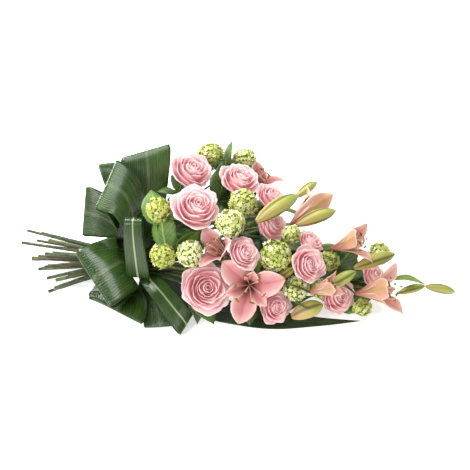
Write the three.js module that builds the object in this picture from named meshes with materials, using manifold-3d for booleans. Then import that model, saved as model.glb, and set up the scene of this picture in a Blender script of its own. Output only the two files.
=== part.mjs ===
// Funeral sheaf: pink roses, lilies and snowball viburnum tied among folded aspidistra leaves.
// Millimetres, +Z up. X runs along the sheaf from the cut stems to the tip, Y from front to back.
// Places are given round the binding and are moved to the part's own frame on the last lines.

import * as THREE from 'three';
import { mergeVertices } from 'three/addons/utils/BufferGeometryUtils.js';
import Module from 'manifold-3d';

const wasm = await Module();
wasm.setup();

// Driving dimensions

const GAP = 0.3;
const TIE = { at: [0, 0, 45], inner: 24.6, wraps: 3, cord: 6, depth: 3.2, sides: 16 };
const STEM = { waist: 3.2, pitch: 6.8, rows: [4, 5, 6, 5, 4], straight: 12, sides: 5, lowest: 9 };
const CUT_END = { shortest: 150, longest: 226, front: 0.68, drop: 12, sway: 1.6 };
const FAN = { front: 27, back: 44, up: 60 };
const FORK_AT = 0.66;
const BENDING = { passes: 140, spreads: 60, smoothed: 0.8, pull: 0.38, stiffness: 0.12 };
const CUT_RADIUS = { rose: 3.6, lily: 4.1, spray: 3.2 };
const UPPER_RADIUS = { rose: 2.7, lily: 3.0, spray: 2.6 };
const TWIG_RADIUS = { lily: 2.2, spray: 1.8 };
const TAIL = { radius: 21.9, leg: 0.95, width: 7.5, end: 10, out: 12 };
const LEAF = { fold: 1.0, base: 1.2, small: 0.8, taper: 0.66, twist: 3.2 };
const FOLD_TURNS = [0, 45, 90, 135, 180];
const BASE_LEAF = { tailRadius: 22.9, turnsIn: 60, fullest: 0.8, point: 1.1 };

// Blooms: width, middle, the way it faces, and the tips of the stem's leaves
const ROSES = [
  {
    across: 84, at: [96, 78, 200], faces: [0.43, -0.24, 0.87],
    leaves: [[60, 132, 150], [54, 62, 160], [83, -15, 120]],
  },
  {
    across: 88, at: [119, -52, 201], faces: [0.24, -0.38, 0.89],
    leaves: [[118, -14, 128], [106, -62, 92]],
  },
  {
    across: 74, at: [183, 74, 190], faces: [0.33, -0.23, 0.92],
    leaves: [[148, 99, 210], [196, 138, 122], [150, -6, 204]],
  },
  { across: 90, at: [170, -113, 85], faces: [0.29, -0.74, 0.6], leaves: [[160, -124, 14], [130, -116, 5]] },
  { across: 60, at: [221, -77, 160], faces: [0.56, -0.43, 0.71], leaves: [[181, -28, 86]] },
  {
    across: 65, at: [256, -35, 172], faces: [0.69, -0.27, 0.67],
    leaves: [[210, 91, 100], [95, 48, 135]],
  },
  {
    across: 66, at: [308, -78, 119], faces: [0.52, -0.58, 0.63],
    leaves: [[306, 30, 90], [227, 49, 121]],
  },
  { across: 62, at: [268, -103, 60], faces: [0.53, -0.68, 0.51], leaves: [[222, -120, 14]] },
  { across: 70, at: [372, -70, 61], faces: [0.58, -0.65, 0.5], leaves: [[402, -48, 80]] },
  { across: 60, at: [242, 50, 171], faces: [0.52, -0.09, 0.85], leaves: [[262, 112, 112], [158, 118, 145]] },
  { across: 50, at: [315, -42, 149], faces: [0.52, -0.09, 0.85], leaves: [[352, 46, 96], [241, 139, 140]] },
  {
    across: 50, at: [424, -34, 87], faces: [0.53, -0.23, 0.82],
    leaves: [[470, 34, 48], [88, 72, 112], [400, -14, 132]],
  },
];

// Sprays of snowball viburnum: radius and middle of each head
const SPRAYS = [
  {
    heads: [[22, 72, -48, 198], [22, 70, -104, 138], [23.5, 118, -101, 145]],
    leaves: [[33, 12, 196], [52, 0, 222], [131, -66, 168]],
  },
  {
    heads: [[25, 122, 140, 195], [23.5, 182, 154, 180]],
    leaves: [[160, 152, 220], [104, 186, 146], [156, 100, 217]],
  },
  { heads: [[25, 180, -76, 176], [26, 199, -12, 196]], leaves: [] },
  { heads: [[29, 262, -72, 141], [22, 312, -92, 76]], leaves: [] },
  { heads: [[16.5, 296, -48, 154], [18, 361, -44, 122], [16.5, 340, -84, 83]], leaves: [] },
  { heads: [[20, 438, 2, 90], [16.5, 412, -73, 46]], leaves: [[419, 23, 43]] },
];

// Lily stems: open flowers from their base, buds from base to tip
const LILIES = [
  {
    flowers: [
      { from: [208, -82, 66], faces: [0.05, -0.86, 0.5], length: 88, open: 88 },
      { from: [186, -72, 140], faces: [-0.52, -0.46, 0.72], length: 66, open: 58 },
    ],
    buds: [{ from: [276, -90, 106], to: [305, -74, 124], across: 16 }],
    leaves: [[238, -30, 120]],
  },
  {
    flowers: [{ from: [206, 120, 130], faces: [0.3, 0.12, 0.94], length: 62, open: 66 }],
    buds: [],
    leaves: [[252, 150, 84]],
  },
  {
    flowers: [{ from: [281, 7, 146], faces: [0.6, 0.78, 0.14], length: 92, open: 24 }],
    buds: [
      { from: [284, 88, 150], to: [319, 122, 163], across: 18 },
      { from: [222, -76, 180], to: [286, 0, 188], across: 29 },
      { from: [281, -56, 154], to: [347, -11, 159], across: 25 },
    ],
    leaves: [[318, 92, 78]],
  },
  {
    flowers: [
      { from: [358, -40, 111], faces: [0.86, -0.1, 0.42], length: 76, open: 44 },
      { from: [308, -84, 102], faces: [0.9, -0.05, 0.42], length: 58, open: 26 },
    ],
    buds: [{ from: [378, -66, 98], to: [447, -17, 98], across: 24 }],
    leaves: [[384, 44, 72]],
  },
  {
    flowers: [{ from: [394, -68, 55], faces: [0.93, -0.12, 0.34], length: 92, open: 50 }],
    buds: [
      { from: [523, -22, 51], to: [577, -9, 33], across: 18 },
      { from: [476, -46, 50], to: [524, -20, 51], across: 16 },
    ],
    leaves: [[522, -44, 72]],
  },
  {
    flowers: [],
    buds: [
      { from: [343, -87, 70], to: [391, -64, 95], across: 22 },
      { from: [291, -101, 35], to: [344, -89, 58], across: 31 },
    ],
    leaves: [[398, 22, 40]],
  },
];

// Folded leaves: middle and direction of the fold, width there, places of the midrib on its way,
// angle of the tail round the binding, the side that it leaves from, and how fat the leaf is
const FOLDED = [
  {
    name: 'back_top', fold: [6, 120, 209], along: [84, 47, 8], width: 96, tail: 15, side: 1, fat: 16,
    path: [[18, 48, 92], [10, 92, 164]],
  },
  {
    name: 'top', fold: [-50, 26, 194], along: [-27, -97, -52], width: 106, tail: 75, side: -1, fat: 12,
    path: [[-17, 0, 98], [-10, 4, 136], [-20, 19, 172]],
  },
  {
    name: 'left', fold: [-101, 54, 113], along: [-6, -34, -88], width: 96, tail: 45, side: -1, fat: 10,
    path: [[-26, 38, 78], [-45, 48, 96], [-77, 52, 109]],
  },
  {
    name: 'back_left', fold: [-54, 127, 176], along: [66, 14, 6], width: 64, tail: 345, side: -1, fat: 10,
    path: [[-21, 62, 64], [-39, 104, 123]],
  },
  {
    name: 'front_left', fold: [-58, -92, 67], along: [88, -97, -58], width: 128, tail: 165, side: -1,
    fat: 14, path: [[-22, -38, 62], [-39, -68, 67]], taper: 0.5,
  },
  {
    name: 'low_left', fold: [-15, -108, 15], along: [103, -61, -4], width: 120, tail: 195, side: -1, fat: 6,
    path: [[-26, -40, 15], [-19, -76, 14]],
  },
  {
    name: 'low_middle', fold: [66, -130, 4.5], along: [60, 12, 1], width: 58, tail: 255, side: 1, fat: 3,
    path: [[30, -40, 8], [56, -94, 4.5]], taper: 0.5,
  },
  {
    name: 'low_front', fold: [113, -134, 16], along: [14, 29, 15], width: 44, tail: 225, side: 1, fat: 10,
    path: [[48, -58, 36], [96, -118, 26]],
  },
  {
    name: 'inner', fold: [60, -6, 150], along: [40, -4, 0], width: 66, tail: 105, side: 1, fat: 8,
    path: [[22, 5, 90], [48, 0, 128]], taper: 0.95,
  },
  {
    name: 'collar', fold: [18, -65, 60], along: [1, 0, 0], width: 42, tail: 135, side: 1, fat: 3,
    path: [[20, -37, 74], [14, -36, 110], [11, -36, 160], [10, -44, 168], [11, -54, 148], [15, -63, 100]],
  },
];

// Broad leaves that the sheaf lies on: midrib from the binding to the tip
const BASE_LEAVES = [
  {
    tail: 285, width: 60,
    line: [[55, -8, 6.5], [120, -50, 0.6], [230, -82, 0.6], [340, -80, 0.6], [414, -72, 3]],
  },
  {
    tail: 315, width: 70,
    line: [[55, 27, 6], [120, 52, 0.6], [220, 69, 0.6], [320, 60, 0.6], [400, 40, 3]],
  },
];

const point = (x, y, z) => new THREE.Vector3(x, y, z);
const place = (list) => new THREE.Vector3(...list);
const between = (a, b, t) => a.clone().lerp(b, t);
const along = (start, heading, distance) => start.clone().addScaledVector(heading, distance);
const degrees = (angle) => (angle * Math.PI) / 180;
const ACROSS = point(0, 1, 0);
const BINDING = place(TIE.at);

function seeded(seed) {
  let state = seed;
  return () => {
    state = (state * 1664525 + 1013904223) % 4294967296;
    return state / 4294967296;
  };
}

// A direction square to an axis, as close as it can be to a wished one
function squareTo(axis, wished) {
  const rest = along(wished, axis, -wished.dot(axis));
  return rest.length() < 0.05 ? squareTo(axis, point(wished.y, wished.z, wished.x)) : rest.normalize();
}

// Closed surfaces and solids

function signedVolume(numbers, triangles) {
  const corner = (k) => new THREE.Vector3().fromArray(numbers, 3 * triangles[k]);
  let sum = 0;
  for (let k = 0; k < triangles.length; k += 3) {
    sum += corner(k).dot(corner(k + 1).cross(corner(k + 2)));
  }
  return sum;
}

function toSolid(geometry) {
  const bare = geometry.clone();
  bare.deleteAttribute('normal');
  bare.deleteAttribute('uv');
  const merged = mergeVertices(bare, 1e-4);
  const vertProperties = Float32Array.from(merged.attributes.position.array);
  const triVerts = Uint32Array.from(merged.index.array);
  if (signedVolume(vertProperties, triVerts) < 0) {
    triVerts.reverse();
  }
  return new wasm.Manifold(new wasm.Mesh({ numProp: 3, vertProperties, triVerts }));
}

function closedSolid(points, faces) {
  const geometry = new THREE.BufferGeometry();
  const numbers = points.flatMap((p) => [p.x, p.y, p.z]);
  geometry.setAttribute('position', new THREE.Float32BufferAttribute(numbers, 3));
  geometry.setIndex(faces.flat());
  return toSolid(geometry);
}

// Joins solids and keeps the one body that they make
function fuse(solids) {
  const bodies = solids.reduce((sum, next) => sum.add(next)).decompose();
  return bodies.reduce((best, next) => (next.volume() > best.volume() ? next : best));
}

function toGeometry(solid) {
  const mesh = solid.getMesh();
  const geometry = new THREE.BufferGeometry();
  geometry.setAttribute('position', new THREE.BufferAttribute(mesh.vertProperties, 3));
  geometry.setIndex(new THREE.BufferAttribute(mesh.triVerts, 1));
  geometry.computeVertexNormals();
  return geometry;
}

// A closed skin over rings of points, where a ring of one point is a tip
function loft(rings) {
  const starts = rings.map((_, k) => rings.slice(0, k).flat().length);
  const last = rings.length - 1;
  const faces = [];
  for (let k = 0; k < last; k += 1) {
    const [here, there] = [rings[k].length, rings[k + 1].length];
    const sides = Math.max(here, there);
    for (let j = 0; j < sides; j += 1) {
      const next = (j + 1) % sides;
      const low = (i) => starts[k] + (i % here);
      const high = (i) => starts[k + 1] + (i % there);
      if (here > 1) {
        faces.push([low(j), low(next), high(next)]);
      }
      if (there > 1) {
        faces.push([low(j), high(next), high(j)]);
      }
    }
  }
  for (let j = 1; j + 1 < rings[0].length; j += 1) {
    faces.push([0, j + 1, j]);
  }
  for (let j = 1; j + 1 < rings[last].length; j += 1) {
    faces.push([starts[last], starts[last] + j, starts[last] + j + 1]);
  }
  return closedSolid(rings.flat(), faces);
}

function ring(centre, axis, radius, sides, wished, squeeze = 1) {
  const u = squareTo(axis, wished);
  const v = axis.clone().cross(u);
  return Array.from({ length: sides }, (_, k) => {
    const angle = (2 * Math.PI * k) / sides;
    const reach = radius * (k % 2 ? squeeze : 1);
    return along(along(centre, u, reach * Math.cos(angle)), v, reach * Math.sin(angle));
  });
}

// The ways that a line takes at its points, with the points in the binding along X
function headings(spine, inBinding = []) {
  return spine.map((_, k) => {
    const ahead = spine[Math.min(k + 1, spine.length - 1)];
    const behind = spine[Math.max(k - 1, 0)];
    const heading = ahead.clone().sub(behind).normalize();
    return inBinding.includes(k) ? point(Math.sign(heading.x), 0, 0) : heading;
  });
}

// A stem along a line, with its last ring square to the way that it ends
function rod(spine, radii, sides, endAxis, inBinding = []) {
  const axes = headings(spine, inBinding);
  axes[axes.length - 1] = endAxis;
  return loft(spine.map((centre, k) => ring(centre, axes[k], radii[k], sides, ACROSS)));
}

// A thin leaf or petal from rows of points, with the same diagonals on both of its faces
function blade(rows, thickness) {
  const columns = rows[0].length;
  const count = rows.length * columns;
  const clamp = (value, most) => Math.max(0, Math.min(value, most));
  const at = (i, j) => rows[clamp(i, rows.length - 1)][clamp(j, columns - 1)];
  const lift = (i, j, side) => {
    const length = at(i + 1, j).clone().sub(at(i - 1, j));
    const breadth = at(i, j + 1).clone().sub(at(i, j - 1));
    return along(at(i, j), length.cross(breadth).normalize(), (side * thickness) / 2);
  };
  const points = [1, -1].flatMap((side) => rows.flatMap((row, i) => row.map((_, j) => lift(i, j, side))));
  const faces = [];
  for (let i = 0; i + 1 < rows.length; i += 1) {
    for (let j = 0; j + 1 < columns; j += 1) {
      const p = i * columns + j;
      const [q, r, s] = [p + 1, p + columns + 1, p + columns];
      faces.push([p, q, r], [p, r, s]);
      faces.push([p + count, r + count, q + count], [p + count, s + count, r + count]);
    }
  }
  const across = Array.from({ length: columns - 1 }, (_, j) => j);
  const down = Array.from({ length: rows.length - 1 }, (_, i) => i);
  const rim = [
    ...across,
    ...down.map((i) => i * columns + columns - 1),
    ...across.map((j) => count - 1 - j),
    ...down.map((i) => (rows.length - 1 - i) * columns),
  ];
  rim.forEach((p, k) => {
    const q = rim[(k + 1) % rim.length];
    faces.push([q, p, p + count], [q, p + count, q + count]);
  });
  return closedSolid(points, faces);
}

// A leaf along its midrib, with the halves raised from the midrib by the crease
function ribbon(spine, axes, sides, widths, crease, thickness) {
  const rows = spine.map((centre, k) => {
    const side = squareTo(axes[k], sides[k]);
    const normal = side.clone().cross(axes[k]);
    return [-1, 0, 1].map((t) => {
      const rise = crease * widths[k] * Math.abs(t);
      return along(along(centre, side, (t * widths[k]) / 2), normal, rise);
    });
  });
  return blade(rows, thickness);
}

// Rose blooms: each ring of the bloom in parts of its width, with the petals round it, how far
// that ring of petals is turned, how far a petal's edges fall back, and its swirl
const BLOOM = [
  { r: 0.07, z: 0, petals: 0 },
  { r: 0.385, z: 0.15, petals: 5, turn: 0, back: 0.1, swirl: 0.04 },
  { r: 0.49, z: 0.3, petals: 5, turn: 0, back: 0.12, swirl: 0.06 },
  { r: 0.385, z: 0.235, petals: 0 },
  { r: 0.345, z: 0.43, petals: 5, turn: 0.5, back: 0.1, swirl: 0.08 },
  { r: 0.265, z: 0.33, petals: 0 },
  { r: 0.2, z: 0.5, petals: 4, turn: 0.25, back: 0.1, swirl: 0.14 },
  { r: 0.125, z: 0.41, petals: 0 },
  { r: 0.075, z: 0.51, petals: 3, turn: 0.6, back: 0.12, swirl: 0.2 },
];
const BLOOM_SIDES = 14;
const BLOOM_TIP = 0.47;
const BLOOM_DEPTH = 0.255;
const PETAL_FALL = 0.11;

function roseBloom({ across, base, axis }, spin) {
  const u = squareTo(axis, ACROSS);
  const v = axis.clone().cross(u);
  const rings = BLOOM.map(({ r, z, petals, turn, back, swirl }) => {
    return Array.from({ length: BLOOM_SIDES }, (_, k) => {
      const share = petals ? ((k / BLOOM_SIDES) * petals + turn + 0.1) % 1 : 0.5;
      const dip = petals ? 1 - Math.sin(Math.PI * share) : 0;
      const reach = r * across * (petals ? 1 - back * dip + swirl * (share - 0.5) : 1);
      const height = z * across * (z > 0.2 ? 1 - PETAL_FALL * dip : 1);
      const angle = (2 * Math.PI * k) / BLOOM_SIDES + spin;
      const out = along(along(base, u, reach * Math.cos(angle)), v, reach * Math.sin(angle));
      return along(out, axis, height);
    });
  });
  return loft([...rings, [along(base, axis, BLOOM_TIP * across)]]);
}

// Snowball heads: florets on the corners and faces of an icosahedron, with dips between them
const FLORET_DIP = 0.83;
const FINE_FROM = 22.5;

function snowball(centre, radius, spin) {
  const detail = radius > FINE_FROM ? 2 : 1;
  const corners = new THREE.IcosahedronGeometry(1, 0).attributes.position;
  const geometry = new THREE.IcosahedronGeometry(1, detail);
  const position = geometry.attributes.position;
  const turn = new THREE.Euler(spin, 2 * spin, 3 * spin);
  for (let k = 0; k < position.count; k += 1) {
    const p = point(0, 0, 0).fromBufferAttribute(position, k).normalize();
    let nearest = 0;
    for (let c = 0; c < corners.count; c += 1) {
      nearest = Math.max(nearest, p.dot(point(0, 0, 0).fromBufferAttribute(corners, c)));
    }
    const floret = nearest > 0.999 || nearest < 0.85;
    p.multiplyScalar(radius * (floret ? 1 : FLORET_DIP)).applyEuler(turn).add(centre);
    position.setXYZ(k, p.x, p.y, p.z);
  }
  return toSolid(geometry);
}

// Lilies: sizes in parts of the flower's length. The six tepals join in a cup up to its rim.
const CUP = { base: 3.4, floor: 0.13, knee: 0.17, kneeRadius: 5.5, rim: 0.36, wall: 1.1 };
const TEPAL = {
  steps: [0.68, 1], widths: [0.41, 0.05], narrow: 0.74, fullest: 1, channel: 0.1, start: 14, least: 2,
};
const STAMEN = { count: 5, steps: [0, 0.86], radii: [0.7, 1.9], reach: 0.72, lean: 17, sides: 3 };
const BUD = { steps: [0, 0.2, 0.55, 0.86, 1], radii: [0.3, 0.8, 1, 0.72, 0.14], groove: 0.84 };

// Distance out and forward along a tepal, and its lean from the flower's axis, which grows to open
function tepalAt(length, open, share) {
  const fine = 25;
  let [out, forward, lean] = [2, 0, degrees(TEPAL.start)];
  for (let k = 1; k <= Math.round(share * fine); k += 1) {
    lean = degrees(TEPAL.start + (open - TEPAL.start) * (k / fine) ** 1.2);
    out += (Math.sin(lean) * length) / fine;
    forward += (Math.cos(lean) * length) / fine;
  }
  return { out, forward, lean };
}

// The outer and inner point of a tepal's wall, set aside from its middle line
function wallPoints({ base, axis, length }, angle, open, share, aside, raise) {
  const outward = squareTo(axis, ACROSS).applyAxisAngle(axis, angle);
  const side = axis.clone().cross(outward);
  const { out, forward, lean } = tepalAt(length, open, share);
  const inward = outward.clone().multiplyScalar(-Math.cos(lean)).addScaledVector(axis, Math.sin(lean));
  const outer = along(along(along(base, outward, out), axis, forward), side, aside);
  outer.addScaledVector(inward, raise);
  return [outer, along(outer, inward, CUP.wall)];
}

// The free rows of one tepal, each with its left, middle and right pair of points
function tepalRows(flower, k, open) {
  const size = flower.length * (k % 2 ? TEPAL.narrow : 1);
  return TEPAL.steps.map((share, row) => [-1, 0, 1].map((way) => {
    const width = Math.min(TEPAL.widths[row] * size, TEPAL.fullest * tepalAt(size, open, share).out);
    const angle = flower.spin + degrees(60 * k);
    return wallPoints(flower, angle, open, share, (way * width) / 2, Math.abs(way) * TEPAL.channel * width);
  }));
}

function rimRing(flower) {
  return Array.from({ length: 12 }, (_, k) => {
    return wallPoints(flower, flower.spin + degrees(30 * k), flower.open, CUP.rim, 0, 0);
  });
}

// Each tepal opens as far as its neighbours let it
const TEPAL_TRIES = [0, -8, 8, -16, 16, -26, -38, -50, -62];

function tepalLean(flower, k, isClear) {
  const wished = flower.open * (k % 2 ? 1.08 : 1);
  const leans = TEPAL_TRIES.map((d) => wished + d).filter((lean) => lean >= TEPAL.least);
  const rim = rimRing(flower);
  const root = [rim[(2 * k + 11) % 12], rim[2 * k], rim[2 * k + 1]];
  const found = leans.find((lean) => {
    const walls = [root, ...tepalRows(flower, k, lean)];
    const rows = walls.map((row) => row.map(([outer, inner]) => between(outer, inner, 0.5)));
    return isClear(blade(rows, CUP.wall + 2 * GAP));
  });
  return found === undefined ? leans[leans.length - 1] : found;
}

function lilyFlower(flower, isClear) {
  const { base, axis, length } = flower;
  const rim = rimRing(flower);
  const knee = along(base, axis, CUP.knee * length);
  const foot = ring(base, axis, CUP.base, 12, ACROSS);
  const turned = (list) => list.map((p) => p.sub(base).applyAxisAngle(axis, flower.spin).add(base));
  const outerKnee = turned(ring(knee, axis, CUP.kneeRadius, 12, ACROSS));
  const innerKnee = turned(ring(along(knee, axis, 1), axis, CUP.kneeRadius - CUP.wall, 12, ACROSS));
  const outerRim = rim.map(([outer]) => outer);
  const innerRim = rim.map(([, inner]) => inner);
  const points = [...turned(foot), ...outerKnee, ...outerRim, ...innerKnee, ...innerRim];
  const [OUTER_RIM, INNER_KNEE, INNER_RIM] = [24, 36, 48];
  points.push(along(base, axis, CUP.floor * length));
  const floor = points.length - 1;
  const faces = [];
  const skin = (a, b, c, d, inside) => {
    faces.push(...(inside ? [[a, c, b], [a, d, c]] : [[a, b, c], [a, c, d]]));
  };
  for (let k = 0; k < 12; k += 1) {
    const next = (k + 1) % 12;
    skin(k, next, 12 + next, 12 + k, false);
    skin(12 + k, 12 + next, OUTER_RIM + next, OUTER_RIM + k, false);
    skin(INNER_KNEE + k, INNER_KNEE + next, INNER_RIM + next, INNER_RIM + k, true);
    faces.push([floor, INNER_KNEE + k, INNER_KNEE + next]);
    if (k > 0 && k < 11) {
      faces.push([0, k + 1, k]);
    }
  }
  for (let k = 0; k < 6; k += 1) {
    const columns = [(2 * k + 11) % 12, 2 * k, 2 * k + 1];
    const rows = [columns.map((c) => [OUTER_RIM + c, INNER_RIM + c])];
    for (const row of tepalRows(flower, k, tepalLean(flower, k, isClear))) {
      rows.push(row.map(([outer, inner]) => [points.push(outer) - 1, points.push(inner) - 1]));
    }
    const edge = [];
    for (let i = 0; i + 1 < rows.length; i += 1) {
      for (let c = 0; c < 2; c += 1) {
        for (const face of [0, 1]) {
          const [here, ahead] = [rows[i], rows[i + 1]];
          skin(here[c][face], here[c + 1][face], ahead[c + 1][face], ahead[c][face], face === 1);
        }
      }
      edge.push([rows[i][2], rows[i + 1][2]], [rows[i + 1][0], rows[i][0]]);
    }
    const tip = rows[rows.length - 1];
    edge.push([tip[2], tip[1]], [tip[1], tip[0]]);
    for (const [p, q] of edge) {
      skin(q[0], p[0], p[1], q[1], false);
    }
  }
  const pieces = [closedSolid(points, faces)];
  if (flower.open > 40) {
    for (let k = 0; k < STAMEN.count; k += 1) {
      pieces.push(stamen(flower, degrees((360 / STAMEN.count) * k + 30), STAMEN.lean));
    }
    pieces.push(stamen(flower, 0, 4));
  }
  return fuse(pieces);
}

function stamen({ base, axis, length }, angle, lean) {
  const out = squareTo(axis, ACROSS).applyAxisAngle(axis, angle);
  const heading = axis.clone().applyAxisAngle(axis.clone().cross(out).normalize(), degrees(lean));
  const start = along(base, axis, 0.08 * length);
  const at = (t) => along(start, heading, length * STAMEN.reach * t);
  const rings = STAMEN.steps.map((t, k) => ring(at(t), heading, STAMEN.radii[k], STAMEN.sides, out));
  return loft([...rings, [at(1)]]);
}

function lilyBud({ base, axis, length, across }) {
  return loft(BUD.steps.map((s, k) => {
    return ring(along(base, axis, s * length), axis, (BUD.radii[k] * across) / 2, 6, ACROSS, BUD.groove);
  }));
}

// What the stems carry, as rounded bodies with half a depth h along their axis and a radius r

function roseHead({ across, at, faces }) {
  const axis = place(faces).normalize();
  const [r, h, back] = [0.5, 0.27, BLOOM_DEPTH].map((share) => across * share);
  return { kind: 'bloom', centre: place(at), axis, r, h, back, across };
}

// The room that a flower takes, in parts of its length: its middle, half height and radius
const FLOWER_ROOM = { middle: 0.36, half: 0.34, shut: 0.14, opened: 0.2 };

function flowerHead({ from, faces, length, open }) {
  const { middle, half, shut, opened } = FLOWER_ROOM;
  const axis = place(faces).normalize();
  const back = middle * length;
  const r = length * (shut + opened * Math.sin(degrees(open)));
  const centre = along(place(from), axis, back);
  return { kind: 'flower', centre, axis, r, h: half * length, back, length, open };
}

function budHead({ from, to, across }) {
  const axis = place(to).sub(place(from));
  const length = axis.length();
  axis.normalize();
  const centre = between(place(from), place(to), 0.5);
  return { kind: 'bud', centre, axis, r: across / 2, h: length / 2, back: length / 2, length, across };
}

function snowballHead([r, x, y, z]) {
  const centre = point(x, y, z);
  const axis = centre.clone().sub(BINDING).normalize().add(point(0, 0, 0.35)).normalize();
  return { kind: 'snowball', centre, axis, r, h: r, back: r / 2 };
}

const plants = [
  ...ROSES.map((rose) => ({ kind: 'rose', heads: [roseHead(rose)], leaves: rose.leaves })),
  ...LILIES.map((lily) => {
    const carried = [...lily.flowers.map(flowerHead), ...lily.buds.map(budHead)];
    return { kind: 'lily', heads: carried, leaves: lily.leaves };
  }),
  ...SPRAYS.map((spray) => ({ kind: 'spray', heads: spray.heads.map(snowballHead), leaves: spray.leaves })),
];
const heads = plants.flatMap((plant) => plant.heads);

// How far a rounded body reaches along a direction
function reachOf({ axis, r, h }, direction) {
  const c = direction.dot(axis);
  return Math.sqrt((h * c) ** 2 + r * r * (1 - c * c));
}

// Moves heads that press on each other apart
function spreadHeads(passes) {
  for (let pass = 0; pass < passes; pass += 1) {
    heads.forEach((one, i) => {
      for (const other of heads.slice(0, i)) {
        const line = one.centre.clone().sub(other.centre);
        const distance = line.length();
        line.normalize();
        const short = reachOf(one, line) + reachOf(other, line) + 2 * GAP - distance;
        if (short > 0) {
          one.centre.addScaledVector(line, short / 2);
          other.centre.addScaledVector(line, -short / 2);
        }
      }
    });
  }
  for (const one of heads) {
    one.base = along(one.centre, one.axis, -one.back);
  }
}

// Stems lie side by side through the binding, the steepest on top, and fan out on both sides

function giveSlots() {
  for (const plant of plants) {
    const sum = plant.heads.reduce((total, each) => total.add(each.base), point(0, 0, 0));
    plant.aim = sum.divideScalar(plant.heads.length);
    const heading = plant.aim.clone().sub(BINDING).normalize();
    plant.slope = heading.z;
    plant.swing = heading.y;
  }
  const queue = [...plants].sort((a, b) => b.slope - a.slope);
  STEM.rows.forEach((count, row) => {
    const line = queue.splice(0, count).sort((a, b) => a.swing - b.swing);
    line.forEach((plant, k) => {
      const y = (k - (count - 1) / 2) * STEM.pitch;
      const z = ((STEM.rows.length - 1) / 2 - row) * STEM.pitch * Math.sin(Math.PI / 3);
      plant.slot = [y, z];
    });
  });
}

// The cut end, from its tip to the binding
function cutEnd([y, z], draw) {
  const { shortest, longest, front } = CUT_END;
  const length = (y < 0 ? front : 1) * (shortest + (longest - shortest) * draw());
  const spread = y < 0 ? FAN.front : FAN.back;
  const [swayY, swayZ] = [draw(), draw()].map((d) => (2 * d - 1) * CUT_END.sway);
  return [1, 0.4, 0].map((t) => {
    const run = length * t;
    const fanY = Math.sqrt(1 + (run / spread) ** 2);
    const fanZ = Math.sqrt(1 + (run / FAN.up) ** 2);
    const height = BINDING.z + z * fanZ - (CUT_END.drop - swayZ) * t * t;
    return point(-STEM.straight - run, y * fanY + swayY * t * t, Math.max(height, CUT_RADIUS.lily + GAP));
  });
}

// Points of a curve from one place and heading to another
function bend(start, heading, end, arrival, steps) {
  const pull = start.distanceTo(end) * BENDING.pull;
  const [leave, arrive] = [along(start, heading, pull), along(end, arrival, -pull)];
  return new THREE.CubicBezierCurve3(start, leave, arrive, end).getPoints(steps).slice(1);
}

// What stems and twigs are kept apart by, beside their radius
const ROOM = { stem: 0.4, twig: 0.6 };

// A plant's lines: its stem, and the twigs that leave the stem's upper end
function layOut(plant, draw) {
  const [y, z] = plant.slot;
  const start = point(STEM.straight, BINDING.y + y, BINDING.z + z);
  const cut = cutEnd(plant.slot, draw);
  const single = plant.heads.length === 1;
  const [first] = plant.heads;
  const goal = single ? along(first.base, first.axis, -GAP) : between(start, plant.aim, FORK_AT);
  const arrival = single ? first.axis : plant.aim.clone().sub(start).normalize();
  const run = bend(start, point(1, 0, 0), goal, arrival, 5).slice(0, -1);
  const stem = { points: [...cut, start, ...run, goal], fixed: cut.length + 1, ends: single };
  plant.lines = [{ ...stem, radius: STEM.waist + ROOM.stem, carries: single ? first : null }];
  if (!single) {
    for (const each of plant.heads) {
      const seat = along(each.base, each.axis, -GAP);
      const points = [goal, ...bend(goal, each.base.clone().sub(goal).normalize(), seat, each.axis, 3)];
      const radius = TWIG_RADIUS[plant.kind] + ROOM.twig;
      plant.lines.push({ points, fixed: 1, ends: true, radius, carries: each });
    }
  }
}

const isFree = (line, k) => k >= line.fixed && k < line.points.length - (line.ends ? 1 : 0);

function nudge(line, k, share, push) {
  if (isFree(line, k)) {
    line.points[k].addScaledVector(push, share);
  }
}

// The shares at which two stretches come closest, and the line between those places
function closest(a, b, c, d) {
  const [u, v, w] = [b.clone().sub(a), d.clone().sub(c), a.clone().sub(c)];
  const [uu, uv, vv, uw, vw] = [u.dot(u), u.dot(v), v.dot(v), u.dot(w), v.dot(w)];
  const clamp = (t) => Math.max(0, Math.min(1, t));
  const flat = uu * vv - uv * uv;
  const first = flat > 1e-6 ? clamp((uv * vw - vv * uw) / flat) : 0.5;
  const t = clamp((uv * first + vw) / vv);
  const s = clamp((uv * t - uw) / uu);
  return { s, t, apart: between(a, b, s).sub(between(c, d, t)) };
}

function partLines(one, other) {
  const wanted = one.radius + other.radius + 2 * GAP;
  for (let i = one.fixed - 1; i + 1 < one.points.length; i += 1) {
    for (let j = other.fixed - 1; j + 1 < other.points.length; j += 1) {
      const [a, b, c, d] = [one.points[i], one.points[i + 1], other.points[j], other.points[j + 1]];
      const { s, t, apart } = closest(a, b, c, d);
      const short = wanted - apart.length();
      if (short > 0 && apart.length() > 1e-3) {
        const push = apart.normalize().multiplyScalar(short * 0.5);
        nudge(one, i, 1 - s, push);
        nudge(one, i + 1, s, push);
        push.negate();
        nudge(other, j, 1 - t, push);
        nudge(other, j + 1, t, push);
      }
    }
  }
}

function leaveHead(line, { centre, axis, r, h }) {
  const room = line.radius + 3 * GAP;
  for (let i = line.fixed - 1; i + 1 < line.points.length; i += 1) {
    for (const t of [0.25, 0.5, 0.75, 1]) {
      const offset = between(line.points[i], line.points[i + 1], t).sub(centre);
      const depth = offset.dot(axis);
      const out = along(offset, axis, -depth);
      const inside = Math.hypot(depth / (h + room), out.length() / (r + room));
      if (inside < 1) {
        const push = axis.clone().multiplyScalar(depth / (h + room) ** 2);
        push.addScaledVector(out, 1 / (r + room) ** 2).setLength((1 - inside) * Math.min(h, r));
        nudge(line, i, 1 - t, push);
        nudge(line, i + 1, t, push);
      }
    }
  }
}

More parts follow.
